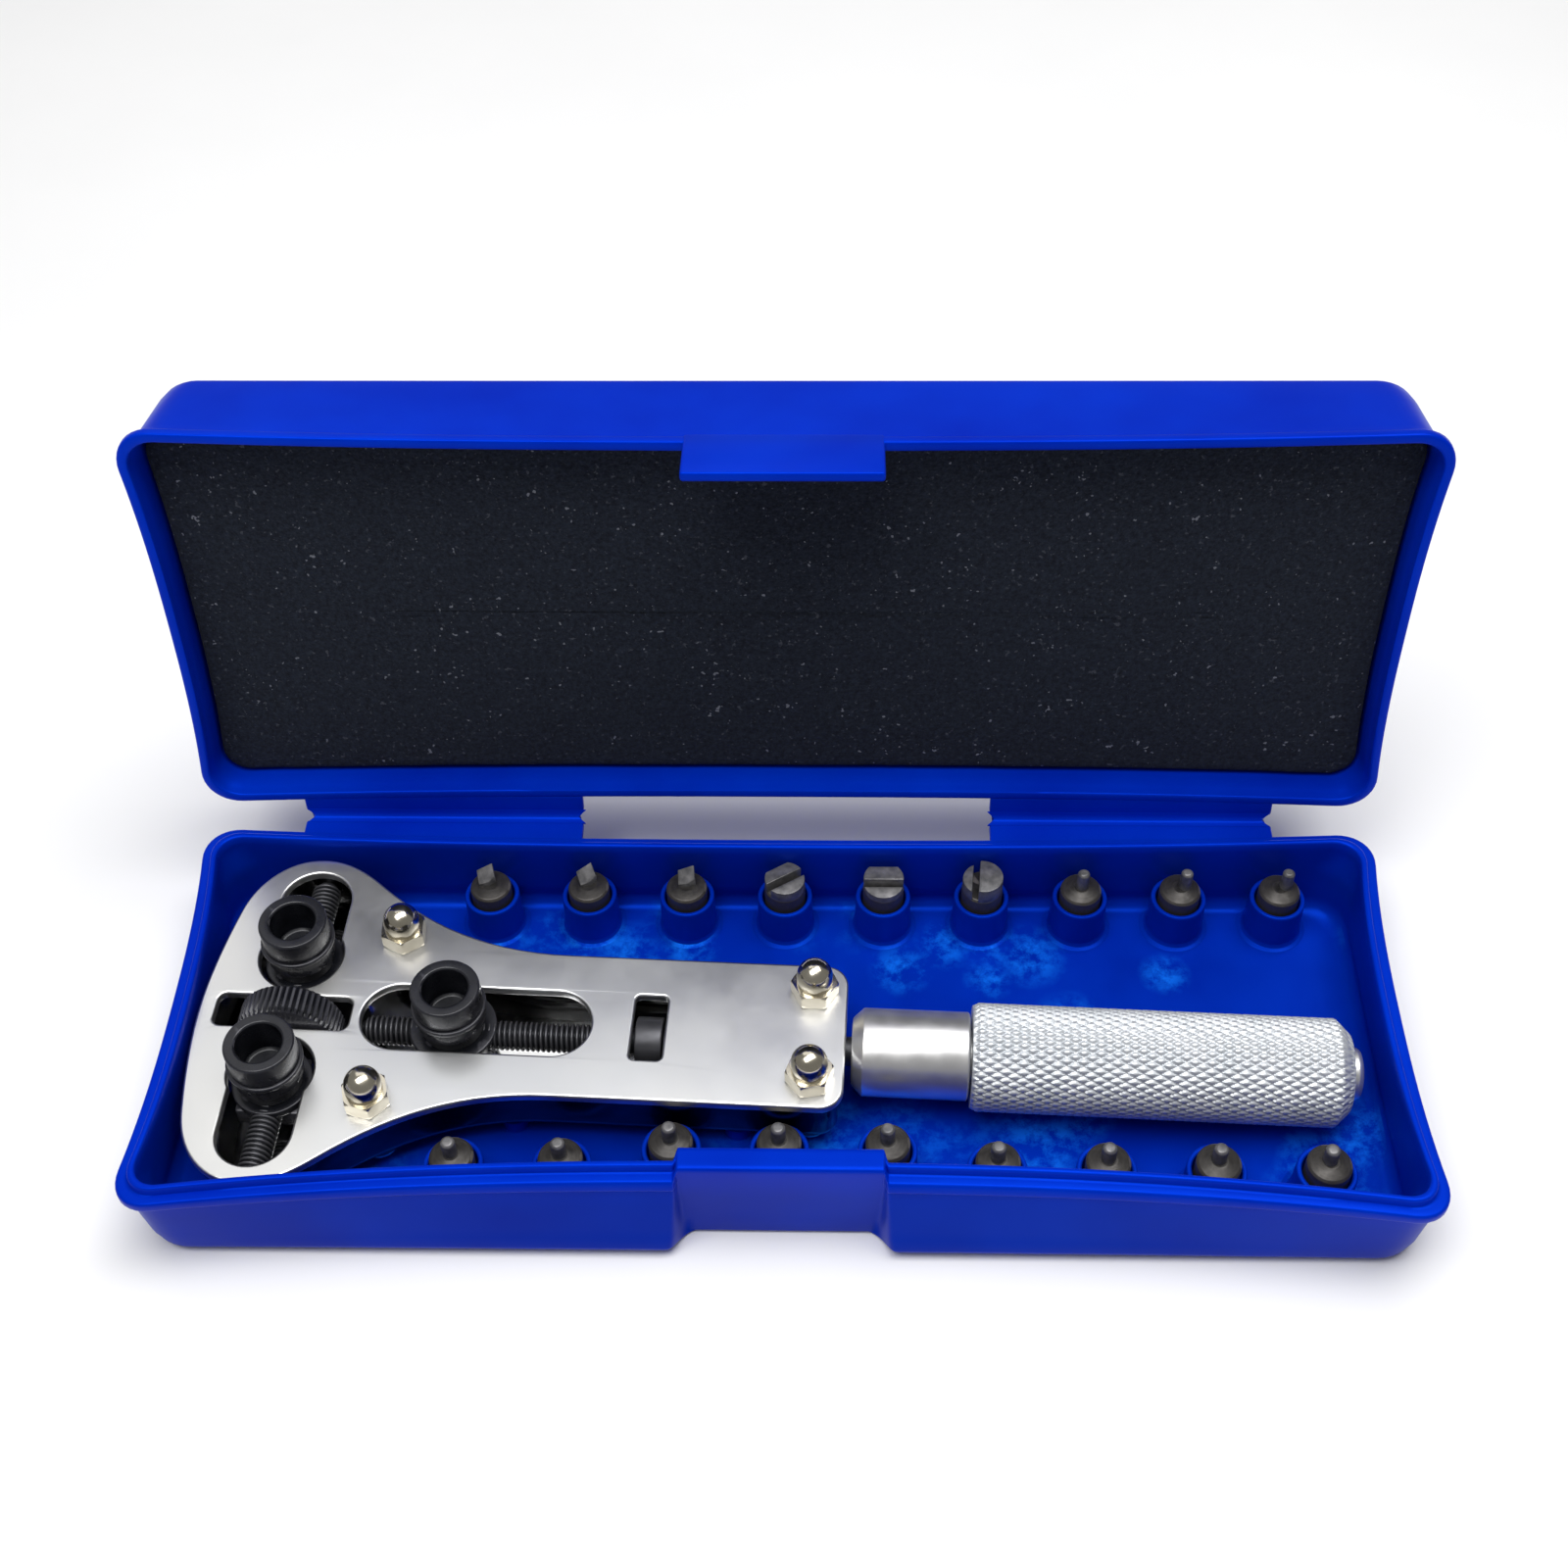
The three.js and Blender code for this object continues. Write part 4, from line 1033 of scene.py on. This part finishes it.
def clamp_screw():
    """A head under the shell, with a recess for the driver, and a stem up into the nut."""
    under = SHELL_BOTTOM - 0.1
    head = [(0.1, under - 0.7), (1.35, under - 0.7), (1.45, under - 1.6), (1.9, under - 1.6)]
    head += [(2.75, under - 0.8), (2.75, under), (1.5, under)]
    return lathe(head + [(1.5, 6.9), (0.1, 7.0)], 36, radius=0.12)


def make_fasteners():
    for i, (x, y) in enumerate(SCREWS):
        place = WRENCH @ Matrix.Translation((x, y, 0))
        spun = place @ Matrix.Rotation(0.21 * i + 0.1, 4, "Z")
        nut, screw = f"acorn_nut_{i + 1}", f"clamp_screw_{i + 1}"
        wrench_piece(Skin().add(acorn_nut()), f"{nut}_dome", "wrench", "warm_nickel",
                     "nickel_fasteners", nut, spun, smooth=28)
        wrench_piece(Skin().add(clamp_screw()), f"{screw}_turned", "wrench", "warm_nickel",
                     "nickel_fasteners", screw, place)


def thread_shell(start, end, axis, hand=1):
    """A real helical thread with tapered ends, closed at both."""
    turns = abs(end - start) / PITCH
    stations = np.linspace(start, end, int(turns * 8) + 1)
    angles = [TAU * k / 28 for k in range(28)]

    def radius(a, s):
        phase = (s / PITCH - hand * a / TAU) % 1
        ridge = min(1.0, 1.35 * abs(2 * phase - 1))
        fade = min(1.0, abs(s - start) / 0.5, abs(s - end) / 0.5)
        return THREAD_CORE + (THREAD_CREST - THREAD_CORE) * ridge * fade

    return field(stations, angles, radius, axis)


def make_head_spindle():
    """Threads of opposite hands on a rod that is the same both ways from its middle."""
    half = [(1.95, 2.2), (1.75, 2.4), (1.6, 23.2), (1.2, 23.3), (1.2, 24.6), (0.1, 24.6)]
    rod = [(r, -s) for r, s in half[::-1]] + half
    skin = Skin()
    skin.add(thread_shell(2.6, 23.5, "y"))
    skin.add(thread_shell(-23.5, -2.6, "y", -1))
    skin.add(lathe(rod, 28, "y", 0.1))
    place = WRENCH @ Matrix.Translation((HEAD_X, 0, 0))
    wrench_piece(skin, "head_spindle_threaded", "head_screw", "dark_thread", "dark_steel",
                 "head_spindle", place, smooth=60)


def make_centre_spindle():
    end = [(0.1, -66.4), (1.2, -66.4), (1.2, -64.9), (1.55, -64.8)]
    collar = [(1.6, -31.5), (1.9, -31.2), (1.9, -28.1), (3.4, -28.1), (3.4, -24.5), (1.95, -24.5)]
    skin = Skin()
    skin.add(thread_shell(-64.9, -31.5, "x"))
    skin.add(lathe(end + collar + [(1.95, 7.4), (0.1, 7.4)], 40, "x", 0.25))
    wrench_piece(skin, "centre_spindle_threaded", "handle", "dark_thread", "dark_steel",
                 "centre_spindle", smooth=60)


def make_thumbwheel():
    teeth = 50
    tooth = (0, 0, 0, 0.75, 1, 0.75)  # how deep the rim is cut at each point of a tooth
    angles = [TAU * k / (teeth * len(tooth)) for k in range(teeth * len(tooth))]
    rise = [(2.3, -2.2), (6.3, -2.2), (6.55, -2.1), (6.8, -1.75), (7.0, -1.6)]
    grid = []
    for r, s in rise + [(7.0, 0)] + [(r, -s) for r, s in rise[::-1]]:
        deep = 0.42 * max(0.0, min(1.0, (r - 6.4) / 0.5))
        ring = []
        for k, a in enumerate(angles):
            rim = r - deep * tooth[k % len(tooth)]
            ring.append((rim * math.cos(a), rim * math.sin(a), s))
        grid.append(ring)
    points, faces = grid_shell(grid, closed=True)
    skin = Skin().add(([AXES["y"] @ Vector(p) for p in points], faces))
    place = WRENCH @ Matrix.Translation((HEAD_X, 0, 0))
    wrench_piece(skin, "head_thumbwheel_ridged", "head_screw", "black_oxide", "blackened_steel",
                 "head_thumbwheel", place, smooth=35)


def make_jaw(name, x, y, flange):
    """One jaw: the nut with its disc, the chuck, the ring round it and the ball in it."""
    place = WRENCH @ Matrix.Translation((x, y, 0))
    body = f"{name}_jaw"
    nut = Skin().add(box_shell((-4.3, -4.3, -2.2), (4.3, 4.3, 0.75), 0.4))
    nut.add(lathe([(0.1, 0.7), (flange, 0.7), (flange, 1.9), (4.5, 1.92), (0.1, 1.92)], 64, radius=0.2))
    outside = [(0.1, 1.95), (4.1, 1.95), (4.1, 3.8), (4.6, 4.0), (4.6, 6.05), (4.2, 6.15), (4.2, 7.15)]
    outside += [(4.6, 7.25), (4.6, 10.5), (4.4, 10.7)]
    bore = [(3.3, 10.7), (3.05, 10.5), (3.05, 5.3), (2.6, 5.0), (0.1, 5.0)]
    tube = Skin().add(lathe(outside + bore, 64, radius=0.1))
    section = [(4.25, 6.25), (5.0, 6.25), (5.0, 7.05), (4.25, 7.05)]
    ring = Skin().add(lathe(section, 64, radius=0.25, closed=True))
    dark = [(nut, "jaw_nut_disc", "jaw_nut"), (tube, "chuck_tube", "chuck")]
    for skin, ending, part in dark + [(ring, "round_ring", "snap_ring")]:
        wrench_piece(skin, f"{name}_{ending}", body, "black_oxide", "blackened_steel",
                     f"{name}_{part}", place)

    turn = math.radians(200)
    spot = Matrix.Translation((3.35 * math.cos(turn), 3.35 * math.sin(turn), 8.6))
    radius = 0.55
    arc = [math.radians(d) for d in range(0, 181, 15)]
    ball = Skin().add(lathe([(radius * math.sin(a) + 0.004, -radius * math.cos(a)) for a in arc], 20))
    wrench_piece(ball, f"{name}_ball", body, "bright_chrome", "bright_steel",
                 f"{name}_catch_ball", place @ spot)


def make_shank():
    """The polished shank, with the tang that goes through the grip."""
    shank = [(0.2, 0.8), (4.3, 0.8), (4.6, 0.95), (5.9, 2.3), (5.9, 16.2), (5.6, 16.4)]
    tang = [(3.5, 16.4), (3.5, 67.2), (3.2, 67.7), (2.6, 67.9), (0.2, 67.9)]
    skin = Skin().add(lathe(shank + tang, 72, "x", 0.15))
    wrench_piece(skin, "handle_shank_polished", "handle", "brushed_nickel", "polished_nickel",
                 "handle_shank")


def grip_radius(a, s):
    """Two crossing sets of helical cuts leave the knurl's diamonds. The ends are rounded off."""
    edge = min(s - GRIP_START, GRIP_END - s)
    near_shank = s < (GRIP_START + GRIP_END) / 2
    drop = max(0.0, 0.8 - edge) * 0.5 if near_shank else max(0.0, 1.8 - edge)
    left = (KNURL_AROUND * a / TAU + (s - GRIP_START) / KNURL_LENGTH) % 1
    right = (KNURL_AROUND * a / TAU - (s - GRIP_START) / KNURL_LENGTH) % 1
    ridge = min(1 - abs(2 * left - 1), 1 - abs(2 * right - 1))
    cut = KNURL_DEPTH * (1 - min(1.0, ridge * 1.9))
    return GRIP_RADIUS - drop - cut * min(1.0, max(0.0, edge) / 0.5)


def make_grip():
    columns = KNURL_AROUND * 8
    angles = [TAU * k / columns for k in range(columns)]

    def ring(s, radii):
        return [(r * math.cos(a), r * math.sin(a), s) for r, a in zip(radii, angles)]

    step = 0.1833  # about twelve to a diamond
    stations = [GRIP_START, GRIP_START + 0.1, *np.arange(GRIP_START + 0.25, GRIP_END - 0.2, step)]
    stations += [GRIP_END - 0.1, GRIP_END]
    bore = [GRIP_BORE] * columns
    grid = [ring(GRIP_START, bore)]
    grid += [ring(s, [grip_radius(a, s) for a in angles]) for s in stations]
    grid.append(ring(GRIP_END, bore))
    points, faces = grid_shell(grid, closed=True)
    skin = Skin().add(([AXES["x"] @ Vector(p) for p in points], faces))
    wrench_piece(skin, "handle_grip_knurled", "handle", "satin_aluminium", "satin_aluminium",
                 "handle_grip", smooth=50)


# ---- surroundings ----


def make_floor():
    mesh = bpy.data.meshes.new("floor")
    size = 3.0
    corners = [(-size, -size, 0), (size, -size, 0), (size, size, 0), (-size, size, 0)]
    mesh.from_pydata(corners, [], [(0, 1, 2, 3)])
    mesh.materials.append(MATERIALS["pale_floor"])
    floor = bpy.data.objects.new("floor", mesh)
    floor.location.z = -0.2 * MM  # just under the base, so that their faces don't fight
    bpy.context.scene.collection.objects.link(floor)


def area_light(name, place, target, size, power):
    """A rectangular light that looks at its target."""
    data = bpy.data.lights.new(name, "AREA")
    data.shape = "RECTANGLE"
    data.size, data.size_y = size
    data.energy = power
    light = bpy.data.objects.new(name, data)
    light.location = place
    aim = Vector(target) - Vector(place)
    light.rotation_mode = "QUATERNION"
    light.rotation_quaternion = aim.to_track_quat("-Z", "Y")
    bpy.context.scene.collection.objects.link(light)


def make_light():
    world = bpy.data.worlds.new("studio")
    world.use_nodes = True
    background = world.node_tree.nodes["Background"]
    background.inputs["Color"].default_value = (1, 1, 1, 1)
    background.inputs["Strength"].default_value = 0.2
    bpy.context.scene.world = world
    bpy.context.scene.view_settings.view_transform = "Standard"
    # overhead is the soft key light, and card is what the wrench's plate mirrors to the camera
    area_light("overhead", (0.02, -0.03, 0.72), (0, 0, 0), (0.9, 0.38), 6.4)
    area_light("card", (-0.15, 0.42, 0.60), (-0.03, 0, 0), (0.6, 0.42), 0.66)


make_camera()
make_base()
make_lid()
make_hinge_web(-1, "hinge_web_left_strip", "hinge_web_left")
make_hinge_web(1, "hinge_web_right_strip", "hinge_web_right")
make_foam()
make_bits()
make_plate()
make_shell_floor()
make_shell()
make_fasteners()
make_head_spindle()
make_centre_spindle()
make_thumbwheel()
make_jaw("rear", HEAD_X, JAW_Y, 5.3)
make_jaw("front", HEAD_X, -JAW_Y, 5.3)
make_jaw("centre", CENTRE_X, 0, 5.8)
make_shank()
make_grip()
make_floor()
make_light()
